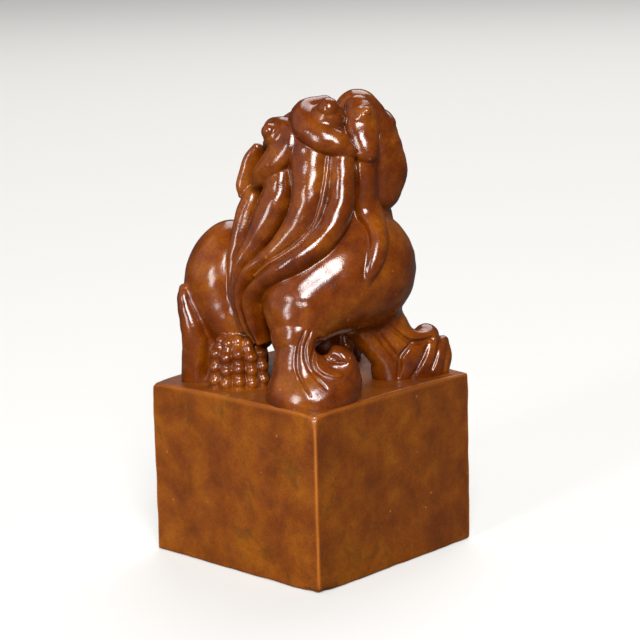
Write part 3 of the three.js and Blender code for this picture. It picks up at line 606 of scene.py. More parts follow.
for side, name in ((-1, "right"), (1, "left")):
    out_y = barrel_radius * side
    carve(f"{name}_haunch", [
        Ball(above(rump[0] - 0.5, out_y + 0.8 * side, haunch_height), (5.1, 4.7, 6.4)),
        Ball(above(rump[0] - 0.5, out_y - 1.3 * side, haunch_height + 2.6), (4.9, 4.7, 6.1)),
        Ball(above(rump[0] + 1.7, out_y + 0.9 * side, haunch_height - 4.2), (4.2, 3.6, 3.8)),
    ], soft=2.4, join=1.0)
    paw_x = -half + hind_paw_from_side[0]
    paw_y = (half - hind_paw_from_side[1]) * side

    def by_heel(back, out, height):
        return above(paw_x - back, paw_y + out * side, height)

    carve(f"{name}_hock", [
        drawn(by_heel, [
            (6.0, 3.8, hock_height + 0.3, 0.75, 0.8), (5.6, 4.2, hock_height - 1.0, 1.0, 1.1),
            (4.9, 4.3, 9.5, 1.3, 1.3), (4.3, 4.2, 7.5, 1.6, 1.5), (4.2, 3.9, 5.4, 1.8, 1.6),
            (4.9, 3.4, 3.0, 1.8, 1.8), (5.6, 2.8, 0.6, 1.9, 1.9),
        ], (0.3, 0.95 * side, 0)),
        drawn(by_heel, [
            (3.4, 1.4, 8.2, 2.4, 1.6), (3.4, 1.2, 4.6, 2.2, 1.6), (3.6, 1.2, 0.8, 2.4, 1.7),
        ], (0.3, 0.95 * side, 0)),
    ], soft=1.0, join=0.5)
    carve(f"{name}_hind_paw", fist((paw_x, paw_y), hind_paw_radius, hind_paw_height, 0.8 * side, 5, 4),
          soft=0.12, join=0.15)

# The right foreleg stands at the near corner: a waisted column under the shoulder, with flame-like lines
# down its back, on a round foot whose side rolls up and over into a scroll.
shoulder = np.array([5.2, -4.7, body_height - 1.1])
shoulder_radius = 5.6
right_foot = np.array([half - 5.9, -(half - 5.9)])
foot_radius = 5.5

carve("right_shoulder", [
    Ball(above(*shoulder), (shoulder_radius, shoulder_radius, shoulder_radius * 1.15)),
    Ball(above(shoulder[0] + 3.0, shoulder[1] + 1.5, shoulder[2] + 0.6), (4.6, 4.6, 5.6)),
], soft=2.5, join=2.6)


def by_foot(out_x, out_y, height):
    """A point given from the middle of the right foot."""
    return above(right_foot[0] + out_x, right_foot[1] + out_y, height)


foreleg = drawn(by_foot, [
    (-0.7, -1.4, 0.8, 3.7, 3.2), (-1.1, -1.3, 4.0, 3.2, 3.0), (-1.6, -0.7, 6.7, 2.95, 2.9),
    (-2.4, 0.1, 9.0, 3.6, 3.5), (-3.0, 1.3, 11.8, 4.7, 4.4),
], (0.7, -0.7, 0))
carve("right_foreleg", [foreleg], join=2.2)
carve("right_forefoot", [
    Ball(by_foot(0, 0, 0.7), (foot_radius, foot_radius, 3.6)),
    Ball(by_foot(1.6, 1.2, 1.6), (foot_radius * 0.7, foot_radius * 0.7, 3.6)),
], soft=1.6, join=2.4)
scroll = drawn(by_foot, [
    (2.6, 2.8, 0.2, 2.0, 1.9), (3.3, 3.3, 2.0, 1.6, 1.9), (3.4, 3.2, 4.0, 1.35, 1.9),
    (3.0, 2.9, 5.5, 1.15, 1.9), (2.0, 2.5, 6.15, 0.95, 1.8), (0.9, 2.0, 5.9, 0.7, 1.5),
], (0.7, -0.7, 0.1))
tongue = drawn(by_foot, [
    (3.6, 3.2, 2.4, 1.3, 1.5), (3.6, 2.8, 3.7, 1.1, 1.5), (3.0, 1.8, 4.5, 1.0, 1.4),
    (2.0, 1.0, 4.8, 0.85, 1.3), (0.9, 0.6, 5.5, 0.6, 1.1),
], (0.7, -0.7, 0.3))
filling = Ball(by_foot(2.4, 1.9, 3.9), (1.6, 1.6, 1.6))
carve("right_forefoot_scroll", [scroll, tongue, filling], soft=0.6, join=0.5)
hollow([drawn(by_foot, [
    (-0.6, 2.6, 6.2, 1.0, 1.0), (0.8, 1.2, 6.9, 1.0, 1.0), (2.2, -0.2, 7.6, 1.1, 1.1),
], (0, 0, 1))], 0.5)
incise(by_foot, [
    [(1.2, -2.1, 9.8, 0.1, 0.1), (0.7, -2.9, 8.0, 0.24, 0.34), (0.7, -3.3, 6.4, 0.3, 0.4),
     (1.2, -3.7, 4.7, 0.3, 0.4), (2.3, -3.8, 3.1, 0.24, 0.3), (3.2, -3.7, 1.7, 0.1, 0.1)],
    [(1.8, -1.2, 9.7, 0.1, 0.1), (1.3, -2.2, 7.9, 0.2, 0.3), (1.3, -2.5, 6.5, 0.26, 0.36),
     (2.0, -2.6, 5.0, 0.26, 0.36), (3.2, -2.4, 3.6, 0.2, 0.26), (4.3, -2.0, 2.5, 0.1, 0.1)],
    [(1.6, 0.2, 8.2, 0.15, 0.2), (1.6, -1.1, 6.9, 0.36, 0.5), (1.8, -1.8, 5.6, 0.4, 0.6),
     (2.6, -1.9, 4.5, 0.4, 0.6), (3.8, -1.3, 3.8, 0.34, 0.5), (5.0, -0.3, 3.8, 0.28, 0.4),
     (5.8, 0.7, 4.4, 0.12, 0.15)],
    [(1.8, 0.3, 5.7, 0.2, 0.3), (2.8, 0.2, 5.7, 0.3, 0.45), (4.1, 0.7, 5.6, 0.26, 0.4),
     (5.0, 1.3, 5.5, 0.12, 0.15)],
], (0.7, -0.7, 0.2))

# The left foreleg splays out to the other front corner and ends in a broad paw. Its inner side is worked in
# long slanting ridges: a rope of muscle down to the paw, the toes side by side, and a heel darkened above by
# dirt and painted shade.
left_paw = np.array([half - 5.3, half - 5.0])
left_paw_radius = 4.3


def by_paw(out_x, out_y, height):
    """A point given from the middle of the left paw."""
    return above(left_paw[0] + out_x, left_paw[1] + out_y, height)


carve("left_foreleg", [
    drawn(by_paw, [
        (-3.4, -6.4, 11.0, 3.5, 3.5), (-2.2, -4.4, 8.0, 3.2, 3.2), (-1.2, -3.4, 5.2, 3.3, 3.3),
        (-0.2, -2.4, 3.2, 3.2, 3.2), (0.6, -1.4, 2.0, 3.0, 3.0),
    ], (0.7, -0.7, 0.3)),
    drawn(by_paw, [
        (-3.0, -8.2, 7.6, 1.6, 1.8), (-1.8, -6.8, 5.4, 1.7, 2.0), (-0.8, -5.2, 3.2, 1.9, 2.2),
        (-0.5, -4.4, 0.8, 2.4, 2.2),
    ], (0.7, -0.7, 0.3)),
    drawn(by_paw, [
        (-0.6, -5.6, 9.6, 1.0, 1.1), (0.2, -4.6, 7.3, 1.0, 1.1), (1.3, -3.1, 6.0, 1.0, 1.0),
        (2.2, -1.4, 5.5, 0.95, 0.9), (2.6, 0.3, 5.5, 0.8, 0.8),
    ], (0.7, -0.7, 0.3)),
], soft=0.9, join=1.6)
toes = [
    drawn(by_paw, [
        (2.2, -0.8, 5.2, 0.9, 0.9), (2.0, -2.0, 3.9, 1.1, 1.1), (1.5, -3.0, 2.3, 1.2, 1.0),
        (1.0, -3.7, 0.4, 1.2, 1.0),
    ], (0.7, -0.7, 0.3)),
    drawn(by_paw, [
        (2.8, 0.6, 4.9, 0.9, 0.9), (2.7, -0.3, 3.4, 1.1, 1.1), (2.3, -1.4, 1.7, 1.2, 1.0),
        (1.8, -2.1, 0.2, 1.1, 1.0),
    ], (0.8, -0.6, 0.3)),
    drawn(by_paw, [
        (3.0, 2.0, 4.3, 0.9, 0.9), (3.0, 1.3, 2.8, 1.1, 1.0), (2.7, 0.4, 0.8, 1.2, 1.0),
    ], (0.9, -0.4, 0.3)),
    drawn(by_paw, [
        (2.2, 3.3, 4.2, 0.9, 0.9), (2.7, 3.1, 2.4, 1.1, 1.0), (2.7, 2.5, 0.6, 1.1, 1.0),
    ], (0.9, 0.2, 0.3)),
    drawn(by_paw, [
        (0.6, 3.6, 4.2, 0.9, 0.9), (1.1, 3.8, 2.4, 1.1, 1.0), (1.2, 3.7, 0.6, 1.1, 1.0),
    ], (0.3, 0.9, 0.3)),
]
carve("left_forepaw", [
    Ball(by_paw(0.3, 0.3, 2.0), (left_paw_radius - 0.5, left_paw_radius - 0.3, 4.0)),
    Ball(by_paw(1.5, 0.8, 5.4), (1.7, 1.8, 1.6)),
] + toes, soft=0.45, join=0.6)
incise(by_paw, [
    [(-1.8, -7.9, 7.5, 0.3, 0.2), (-0.4, -6.6, 5.8, 0.5, 0.45), (0.6, -5.4, 4.1, 0.5, 0.5),
     (0.9, -4.8, 3.3, 0.4, 0.3)],
    [(-0.2, -6.0, 9.2, 0.2, 0.2), (0.7, -4.9, 7.1, 0.32, 0.4), (1.7, -3.5, 5.6, 0.36, 0.5),
     (2.7, -1.9, 5.2, 0.36, 0.5), (3.3, -0.2, 5.5, 0.25, 0.3)],
    [(1.9, -2.9, 5.2, 0.2, 0.2), (1.3, -4.1, 3.7, 0.34, 0.45), (1.1, -4.6, 2.2, 0.34, 0.45),
     (0.9, -4.9, 0.8, 0.2, 0.25)],
    [(3.4, -0.9, 4.9, 0.2, 0.2), (3.2, -1.8, 3.4, 0.3, 0.42), (2.8, -2.7, 1.9, 0.3, 0.42),
     (2.4, -3.3, 0.8, 0.2, 0.25)],
    [(3.9, 0.8, 4.6, 0.2, 0.2), (3.9, 0.0, 3.1, 0.3, 0.42), (3.6, -0.9, 1.5, 0.25, 0.35)],
    [(3.9, 2.6, 4.0, 0.2, 0.2), (4.1, 2.2, 2.4, 0.3, 0.42), (3.9, 1.8, 0.9, 0.25, 0.35)],
    [(2.6, 4.2, 3.8, 0.2, 0.2), (2.9, 4.2, 2.2, 0.3, 0.42), (2.8, 4.1, 0.8, 0.25, 0.35)],
], (0.8, -0.6, 0.3), 0.3)

# The tail rises from the rump and parts into three plumes that lie against the left haunch. It isn't seen in
# the photograph, so it follows the plain old pattern.
tail_x = rump[0] - 4.0
tail_y = rump[1] + 1.2
plumes = []
for i in range(3):
    plumes.append(drawn(above, [
        (tail_x - 0.6, tail_y + 0.5 * i, 7.5, 1.5, 1.5),
        (tail_x - 1.2 + 0.2 * i, tail_y + 1.5 * i, 12.0, 1.8, 1.5),
        (tail_x + 0.2 + 0.3 * i, tail_y + 0.6 + 1.9 * i, 16.4 - 0.6 * i, 1.6, 1.3),
        (tail_x + 2.6 + 0.3 * i, tail_y + 1.0 + 2.2 * i, 19.4 - 1.3 * i, 0.7, 0.7),
    ], (-1, 0.3, 0.2)))
carve("tail", plumes, soft=0.2, join=0.3,
      cuts=[score(plume, share, 0.1, 0.85, 0.2, 0.2) for plume in plumes for share in (-0.35, 0.35)])

# The neck and the round skull carry the mane. The head is turned over the left shoulder, so its places are
# given from its own middle, to its right, to its nose and up.
head = np.array([2.4, 1.9, body_height + 13.6])
head_turn = radians(100)
skull_radius = 7.4
neck_radius = barrel_radius + 0.1


def on_head(right, forward, up):
    """A point given from the middle of the head in skull radii: to its right, to its nose, and up."""
    c, s = cos(head_turn), sin(head_turn)
    return above(
        head[0] + skull_radius * (forward * c + right * s),
        head[1] + skull_radius * (forward * s - right * c),
        head[2] + skull_radius * up,
    )


def head_ball(place, radii):
    """An egg of stone on the head, whose radii are across, forward and up, in skull radii."""
    return Ball(on_head(*place), np.array(radii) * skull_radius, head_turn - pi / 2)


carve("neck", [
    Stroke([
        (above(chest[0] - 2.8, chest[1] - 1.8, chest[2] + 2.5), neck_radius + 0.3, neck_radius),
        (above(2.6, 0.4, head[2] - 8.2), neck_radius, neck_radius),
        (on_head(-0.02, -0.12, -0.27), neck_radius, neck_radius + 0.2),
    ], (1, 0, 0)),
], join=1.5)
carve("skull", [
    head_ball((0, 0, 0), (1, 1, 1)),
    head_ball((-0.054, -0.135, 0.378), (0.95, 0.93, 0.76)),
], soft=1.0, join=1.0)

# The face follows the old pattern for such lions: bulging eyes under knotted brows, a broad nose on a
# heavy muzzle, lips parted over a row of teeth, and a beard of three locks.
teeth = [
    head_ball((a * 0.13, 1.32 - 0.027 * a * a, -0.45), (0.055, 0.05, 0.12)) for a in range(-3, 4)
]
carve("lower_jaw", [
    head_ball((0, 0.838, -0.676), (0.57, 0.59, 0.24)),
    head_ball((0, 1.18, -0.62), (0.33, 0.22, 0.15)),
], soft=0.8, join=0.5)
carve("muzzle", [
    head_ball((0, 0.892, -0.054), (0.66, 0.59, 0.42)),
    head_ball((0.27, 1.243, -0.122), (0.3, 0.27, 0.28)),
    head_ball((-0.27, 1.243, -0.122), (0.3, 0.27, 0.28)),
] + teeth, soft=0.35, join=0.4)
carve("nose", [
    head_ball((0, 1.392, 0.216), (0.2, 0.18, 0.16)),
    head_ball((0.203, 1.351, 0.162), (0.15, 0.15, 0.12)),
    head_ball((-0.203, 1.351, 0.162), (0.15, 0.15, 0.12)),
    drawn(on_head, [
        (0, 1.324, 0.27, 1.3, 0.9), (0, 1.15, 0.42, 1.1, 0.9), (0, 1.0, 0.6, 1.2, 1.0),
    ], (0, 0.6, 0.8)),
], soft=0.5, join=0.3, cuts=[
    head_ball((side * 0.21, 1.46, 0.1), (0.065, 0.09, 0.055)) for side in (-1, 1)
])
for side, name in ((1, "right"), (-1, "left")):
    eye = on_head(side * 0.432, 0.973, 0.459)
    carve(f"{name}_eye", [Ball(eye, [1.6] * 3)], join=0.1,
          cuts=[head_ball((side * 0.47, 1.2, 0.47), (0.07, 0.05, 0.07))])
    brow = drawn(on_head, [
        (side * 0.135, 1.122, 0.622, 0.95, 0.95), (side * 0.419, 1.095, 0.79, 1.25, 1.2),
        (side * 0.703, 0.87, 0.72, 1.2, 1.2), (side * 0.865, 0.622, 0.514, 0.7, 0.7),
    ], (0, 1, 0.3))
    carve(f"{name}_brow", [brow], join=0.15,
          cuts=[score(brow, share, 0.1, 0.9, 0.16, 0.2) for share in (-0.5, 0.0, 0.5)])
    ear = drawn(on_head, [
        (side * 0.72, 0.60, 0.56, 1.2, 0.9), (side * 0.90, 0.60, 0.66, 1.6, 0.9),
        (side * 1.0, 0.52, 0.80, 0.6, 0.5),
    ], (side * 0.4, 0.9, 0))
    carve(f"{name}_ear", [ear], join=0.2, cuts=[score(ear, 0.0, 0.15, 0.85, 0.7, 0.45)])
    ruff = drawn(on_head, [
        (side * 0.70, 0.40, 0.94, 1.7, 1.6), (side * 0.76, 0.38, 0.64, 2.6, 2.4),
        (side * 0.80, 0.39, 0.30, 3.3, 2.7), (side * 0.84, 0.39, -0.04, 3.6, 2.7),
        (side * 0.82, 0.32, -0.36, 3.2, 2.5), (side * 0.78, 0.24, -0.64, 1.9, 1.8),
    ], (side * 0.75, -0.66, 0))
    carve(f"{name}_cheek_ruff", [ruff], join=0.5, cuts=[score(ruff, -0.5 * side, 0.15, 0.6, 0.16, 0.2)])
beard = []
for i in (-1, 0, 1):
    beard.append(drawn(on_head, [
        (i * 0.324, 0.838, -0.838, 1.6, 1.5), (i * 0.297, 0.811, -1.189, 1.5, 1.4),
        (i * 0.216 + 0.108, 0.622, -1.568, 0.7, 0.7),
    ], (0, 1, 0)))
carve("beard", beard, soft=0.15, join=0.3,
      cuts=[score(lock, share, 0.05, 0.9, 0.16, 0.18) for lock in beard for share in (-0.35, 0.35)])

# The mane falls in long locks that start under the curls, lie side by side over the neck and the right
# shoulder, and taper to their tips. They are cut as rounded ridges with fine dark lines between.


def lock(stations, facing):
    """A lock of hair through places on the head, a tenth wider than it is written."""
    return drawn(on_head, [(*at, wide * 1.1, thick) for *at, wide, thick in stations], facing)


right_locks = [
    ([
        (-0.97, -0.69, -0.27, 0.7, 1.2), (-1.04, -0.87, -0.50, 1.2, 1.4), (-1.08, -0.99, -0.79, 1.2, 1.6),
        (-1.08, -1.11, -1.13, 1, 1.7), (-1.10, -1.19, -1.58, 0.9, 1.9), (-1.09, -1.26, -2.09, 0.8, 1.8),
        (-1.07, -1.23, -2.58, 0.5, 1.5),
    ], [(-0.6, -0.8, 0.15), (-0.3, -0.95, 0.1)]),
    ([
        (-0.42, -0.88, 0.22, 1.7, 1.6), (-0.38, -1.02, -0.25, 1.9, 1.8), (-0.44, -1.13, -0.59, 2.1, 2),
        (-0.55, -1.21, -0.90, 1.9, 2.1), (-0.65, -1.26, -1.20, 1.5, 2.2), (-0.78, -1.33, -1.48, 1.1, 2.2),
        (-0.87, -1.39, -1.72, 0.8, 2.1), (-0.89, -1.42, -2.02, 0.7, 2), (-0.86, -1.42, -2.38, 0.6, 1.8),
        (-0.83, -1.36, -2.71, 0.4, 1.4),
    ], [(-0.1, -1, 0.2), (-0.4, -0.9, 0.15)]),
    ([
        (0.19, -0.87, 0.41, 2.3, 1.5), (0.23, -0.96, 0.07, 2.15, 1.7), (0.27, -1.06, -0.33, 2.05, 1.9),
        (0.24, -1.12, -0.60, 2, 2), (0.17, -1.21, -0.83, 1.9, 2), (0.02, -1.28, -1.07, 1.6, 2.1),
        (-0.18, -1.36, -1.31, 1.35, 2.1), (-0.40, -1.40, -1.49, 1.15, 2.2), (-0.60, -1.47, -1.68, 0.95, 2.2),
        (-0.72, -1.50, -1.92, 0.75, 2.2), (-0.74, -1.50, -2.18, 0.65, 2.1), (-0.68, -1.47, -2.53, 0.55, 1.9),
        (-0.59, -1.37, -2.87, 0.35, 1.3),
    ], [(0.45, -0.88, 0.25), (-0.3, -0.95, 0.15)]),
    ([
        (0.50, -0.74, 0.34, 0.4, 1.1), (0.53, -0.82, 0.06, 0.4, 1.2), (0.55, -0.92, -0.24, 0.4, 1.3),
        (0.55, -1.02, -0.54, 0.4, 1.4), (0.50, -1.12, -0.84, 0.4, 1.4), (0.38, -1.23, -1.06, 0.45, 1.4),
        (0.22, -1.33, -1.24, 0.45, 1.4), (0.02, -1.42, -1.39, 0.45, 1.4), (-0.21, -1.49, -1.55, 0.4, 1.5),
        (-0.43, -1.54, -1.75, 0.35, 1.5),
    ], [(0.7, -0.7, 0.25), (-0.2, -0.95, 0.2)]),
    ([
        (0.69, -0.60, 0.33, 1.5, 1.6), (0.74, -0.70, -0.04, 1.55, 1.8), (0.77, -0.79, -0.40, 1.65, 1.9),
        (0.75, -0.90, -0.67, 1.75, 2), (0.70, -1.05, -0.92, 1.6, 2), (0.60, -1.26, -1.15, 1.55, 2.1),
        (0.47, -1.44, -1.30, 1.4, 2.1), (0.31, -1.58, -1.44, 1.35, 2.1), (0.07, -1.66, -1.60, 1.3, 2.1),
        (-0.21, -1.68, -1.80, 1.1, 2.1), (-0.40, -1.68, -1.99, 0.95, 2.1), (-0.48, -1.65, -2.18, 0.8, 2),
        (-0.48, -1.59, -2.46, 0.65, 1.8), (-0.41, -1.51, -2.86, 0.35, 1.3),
    ], [(0.85, -0.52, 0.25), (-0.3, -0.95, 0.3)]),
]
right_hair = [lock(stations, facing) for stations, facing in right_locks]
for i, hair in enumerate(right_hair):
    carve(f"right_mane_lock_{i + 1}", [hair], join=0.16)
left_locks = [
    ([
        (-1.08, -0.1, 0.08, 2.2, 1.5), (-1.14, 0.1, -0.5, 2.3, 1.6), (-1.2, 0.38, -1.0, 2.0, 1.6),
        (-1.3, 0.68, -1.5, 0.9, 1.0),
    ], [(-0.9, 0.1, 0), (-0.7, 0.6, 0.2)]),
    ([
        (-0.86, 0.42, -0.40, 2.3, 1.5), (-0.9, 0.62, -0.92, 2.4, 1.6), (-0.92, 0.86, -1.45, 1.9, 1.5),
        (-1.0, 1.08, -1.95, 0.8, 0.9),
    ], [(-0.7, 0.7, 0), (-0.6, 0.8, 0)]),
    ([
        (0.70, 0.49, -0.57, 2.1, 1.5), (0.72, 0.6, -1.1, 2.2, 1.6), (0.55, 0.78, -1.6, 1.8, 1.5),
        (0.2, 0.92, -2.05, 0.8, 0.9),
    ], [(0.6, 0.8, 0), (0.1, 0.95, 0)]),
]
for i, (stations, facing) in enumerate(left_locks):
    hair = lock(stations, facing)
    carve(f"left_mane_lock_{i + 1}", [hair], join=0.3,
          cuts=[score(hair, share, 0.1, 0.85, 0.22, 0.24) for share in (-0.3, 0.35)])
crescent = lock([
    (0.95, -0.26, 0.22, 1.5, 1.3), (0.96, -0.29, -0.13, 1.5, 1.4), (0.94, -0.26, -0.49, 1.75, 1.4),
    (1.03, -0.28, -0.73, 1.8, 1.3), (1.20, -0.38, -0.92, 1.4, 1.2), (1.34, -0.52, -1.14, 1.2, 1.1),
    (1.38, -0.65, -1.35, 1.15, 1.1), (1.36, -0.78, -1.56, 1.0, 1.0), (1.30, -0.88, -1.76, 0.7, 0.8),
    (1.20, -0.94, -2.02, 0.25, 0.4),
], [(0.97, -0.1, 0), (0.75, -0.6, -0.1)])
carve("crescent_lock", [crescent], join=0.25)

# The hair of the crown is dressed in comma curls. Each is a fat band that sweeps round a polished boss,
# and the boss is set off by a fine ring cut about it.
band = 1.6
ring_line = 0.2


def curl(name, boss, boss_radius, stations, facing):
    """One curl: its boss and the band that sweeps past it to a tip."""
    outward = boss - above(*head)
    outward /= np.linalg.norm(outward)
    rim = []
    first = np.cross(outward, (0, 0, 1))
    first /= np.linalg.norm(first)
    second = np.cross(outward, first)
    for i in range(13):
        turn = 2 * pi * i / 12
        point = (first * cos(turn) + second * sin(turn)) * boss_radius * 1.04 + outward * boss_radius * 0.3
        rim.append((boss + point, ring_line, ring_line))
    pad = Ball(boss - outward * boss_radius * 1.05, [boss_radius * 1.55] * 3)
    band_form = drawn(on_head, stations, facing)
    carve(name, [band_form, pad], soft=0.5, join=0.12, cuts=[Stroke(rim, outward, 2)])
    return Ball(boss, [boss_radius] * 3)


carve("crown_knob", [
    head_ball((0.45, 0.30, 1.0), (0.40, 0.38, 0.38)),
    head_ball((0.50, 0.22, 0.84), (0.42, 0.36, 0.30)),
], soft=0.8, join=0.6)
curls = [
    ("nape_curl_rear", on_head(-0.98, -0.30, 0.41), 1.2, [
        (-0.97, -0.69, 0.37, 0.6, band - 0.5), (-1.08, -0.78, 0.18, 0.75, band - 0.4),
        (-1.14, -0.83, -0.03, 0.8, band - 0.4), (-1.19, -0.87, -0.26, 0.75, band - 0.4),
        (-1.19, -0.91, -0.45, 0.4, 0.8),
    ], [(-0.5, -0.85, 0.1), (-0.6, -0.8, 0.1)]),
    ("nape_curl_left", on_head(-0.52, -1.02, 0.73), 1.1, [
        (-0.55, -0.81, 0.73, 1.75, band), (-0.38, -0.81, 0.74, 1.75, band),
        (-0.24, -0.84, 0.63, 2.05, band), (-0.27, -0.93, 0.43, 2.2, band), (-0.45, -1.02, 0.20, 2, band),
        (-0.65, -1.04, -0.01, 1.5, band - 0.1), (-0.81, -1.01, -0.17, 0.7, band - 0.5),
    ], [(0.0, -0.8, 0.55), (-0.3, -0.9, 0.25)]),
    ("nape_curl_right", on_head(0.97, -0.24, 1.05), 0.7, [
        (0.66, -0.04, 1.12, 1.7, band - 0.2), (0.78, -0.14, 0.94, 2.25, band),
        (0.85, -0.23, 0.71, 2.4, band), (0.94, -0.29, 0.50, 2, band), (0.99, -0.30, 0.36, 1.75, band),
    ], [(0.55, -0.6, 0.55), (0.8, -0.55, 0.33)]),
    ("nape_curl_centre", on_head(0.47, -0.66, 1.12), 1.45, [
        (0.14, -0.25, 1.12, 1.5, band - 0.3), (-0.05, -0.51, 1.05, 1.75, band),
        (0.01, -0.71, 0.94, 2, band), (0.21, -0.82, 0.78, 2.15, band), (0.45, -0.81, 0.65, 2.1, band),
        (0.65, -0.72, 0.55, 1.75, band), (0.79, -0.63, 0.44, 1.2, band - 0.3),
        (0.88, -0.52, 0.33, 0.4, 0.8),
    ], [(0.4, -0.65, 0.65), (0.72, -0.6, 0.42)]),
]
bosses = [(name, curl(name, *shape)) for name, *shape in curls]
for name, boss in bosses:
    part, distance = reached(boss, axes)
    stone_at[part] = soft_min(stone_at[part], distance, 0.08)
    claim(part, distance, masses.index(name) + 1)

# The finished lump is a little uneven all over, as hand work is. It grows out of the block's top, and no part
# of it stands past the block's sides or its own highest point.
unevenness, bump_size = 0.02, 2.2
side_room, top_room = 0.1, 0.06
x, y, z = np.meshgrid(*axes, indexing="ij", sparse=True)
close = np.abs(stone_at) < 1.0
i, j, k = np.nonzero(close)
bumps = waves(axes[0][i], axes[1][j], axes[2][k], bump_size, 21, 6)
stone_at[close] += unevenness * bumps.astype(np.float32)
stone_at = np.maximum(stone_at, (block_top - sunk) - z)
stone_at = np.maximum(stone_at, np.maximum(np.abs(x), np.abs(y)) - (half - side_room))
stone_at = np.maximum(stone_at, z - (cad_high[2] / mm - top_room))

# The creases are darkened, as wax and dirt and as painted shade, and the ridges are rubbed pale. How deep
# each point lies in a crevice, and how far it stands out, is read from how much stone there is within reach
# of it.
fine_reach, broad_reach = 0.5, 2.2
solid = np.clip(0.5 - stone_at / voxel, 0, 1)
solid[(z < block_top) & (np.abs(x) < half) & (np.abs(y) < half)] = 1


def blurred(values, reach):
    """Values averaged over a soft ball of about the given reach in mm."""
    width = max(1, round(reach / voxel / 2))
    for _ in range(2):
        for axis in range(3):
            pad = [(0, 0)] * 3
            pad[axis] = (width + 1, width)
            total = np.cumsum(np.pad(values, pad, mode="edge"), axis=axis, dtype=np.float32)
            last = np.take(total, range(2 * width + 1, total.shape[axis]), axis)
            first = np.take(total, range(total.shape[axis] - 2 * width - 1), axis)
            values = (last - first) / (2 * width + 1)
    return values


fine_share = blurred(solid, fine_reach)
broad_share = blurred(solid, broad_reach)


def surface_values(points):
    """Crevice and wear at points on the stone's skin, each from 0 to 1: crevice darkens the colour as dirt
    and painted shade, wear paints it pale.
    """
    fine = sample(fine_share, points)
    broad = sample(broad_share, points)
    # Fine creases and, more weakly, broad hollows are darkened: dirt and painted shade.
    crevice = np.clip((fine - 0.59) / 0.2, 0, 1) + np.clip((broad - 0.76) / 0.2, 0, 1) * 0.3
    wear = np.clip((0.44 - fine) / 0.25, 0, 1) * 0.5
    return np.clip(crevice, 0, 1), np.clip(wear, 0, 1)


# The lump is parted along its seams into its masses, each a closed body that meets its neighbours exactly.
# A surface net runs through the grid: one point in each cell that two masses, or a mass and the air, share.
label = np.where(stone_at < 0, owner, 0).astype(np.uint8)
gap = runner_up - nearest
changes = np.zeros(tuple(n - 1 for n in label.shape), bool)
first = label[:-1, :-1, :-1]
for shifts in corner_steps[1:]:
    changes |= label[tuple(slice(a, n - 1 + a) for a, n in zip(shifts, label.shape))] != first
cells = np.argwhere(changes)
cell_number = np.full(changes.shape, -1, np.int32)
cell_number[tuple(cells.T)] = np.arange(len(cells))
corner_label = np.stack([label[tuple((cells + step).T)] for step in corner_steps], 1)
corner_depth = np.stack([stone_at[tuple((cells + step).T)] for step in corner_steps], 1)
corner_gap = np.stack([gap[tuple((cells + step).T)] for step in corner_steps], 1)
skin_sum = np.zeros((len(cells), 3))
skin_count = np.zeros(len(cells))
wall_sum = np.zeros((len(cells), 3))
wall_count = np.zeros(len(cells))
for p, start in enumerate(corner_steps):
    for q, end in enumerate(corner_steps):
        step = np.subtract(end, start)
        if step.sum() != 1 or step.min() < 0:
            continue
        one, two = corner_label[:, p], corner_label[:, q]
        skin = (one == 0) != (two == 0)
        wall = (one != two) & (one > 0) & (two > 0)
        t = corner_depth[:, p] / np.where(skin, corner_depth[:, p] - corner_depth[:, q], 1)
        crossing = np.array(start) + step * t[:, None]
        skin_sum[skin] += crossing[skin]
        skin_count += skin
        t = corner_gap[:, p] / np.maximum(corner_gap[:, p] + corner_gap[:, q], 1e-6)
        crossing = np.array(start) + step * t[:, None]
        wall_sum[wall] += crossing[wall]
        wall_count += wall
on_skin = skin_count > 0
offset = np.where(on_skin[:, None], skin_sum / np.maximum(skin_count, 1)[:, None],
                  wall_sum / np.maximum(wall_count, 1)[:, None])
points = grid_low + (cells + offset) * voxel
h = 0.6 * voxel
slopes = [sample(stone_at, points + h * way) - sample(stone_at, points - h * way) for way in np.eye(3)]
normals = np.stack(slopes, 1)
normals /= np.maximum(np.linalg.norm(normals, axis=1, keepdims=True), 1e-9)

all_quads, all_owners, all_walls = [], [], []
for axis in range(3):
    u, v = (axis + 1) % 3, (axis + 2) % 3
    step = np.eye(3, dtype=int)
    count = np.array(label.shape)
    low_end = [slice(None)] * 3
    high_end = [slice(None)] * 3
    low_end[axis], high_end[axis] = slice(0, -1), slice(1, None)
    for side in (u, v):
        low_end[side] = high_end[side] = slice(1, -1)
    one, two = label[tuple(low_end)], label[tuple(high_end)]
    edges = np.argwhere(one != two)
    one, two = one[tuple(edges.T)], two[tuple(edges.T)]
    edges[:, u] += 1
    edges[:, v] += 1
    ring = [edges - step[u] - step[v], edges - step[v], edges, edges - step[u]]
    quads = np.stack([cell_number[tuple(cell.T)] for cell in ring], 1)
    for ours, theirs, turn in ((one, two, 1), (two, one, -1)):
        kept = ours > 0
        all_quads.append(quads[kept][:, ::turn])
        all_owners.append(ours[kept])
        all_walls.append(theirs[kept] > 0)
all_quads, all_owners, all_walls = (np.concatenate(part) for part in (all_quads, all_owners, all_walls))

carved_stone = stone(
    "handled_soapstone", pale=(0.31, 0.08, 0.002), body=(0.2, 0.039, 0.001), deep=(0.115, 0.018, 0.0006),
    polish=0.13, clouding=0.35,
)
hair_stone = stone(
    "waxed_soapstone", pale=(0.29, 0.074, 0.002), body=(0.178, 0.034, 0.001), deep=(0.103, 0.015, 0.0006),
    polish=0.12, clouding=0.3,
)
hair_words = ("lock", "curl", "knob", "ruff", "beard", "brow", "tail")

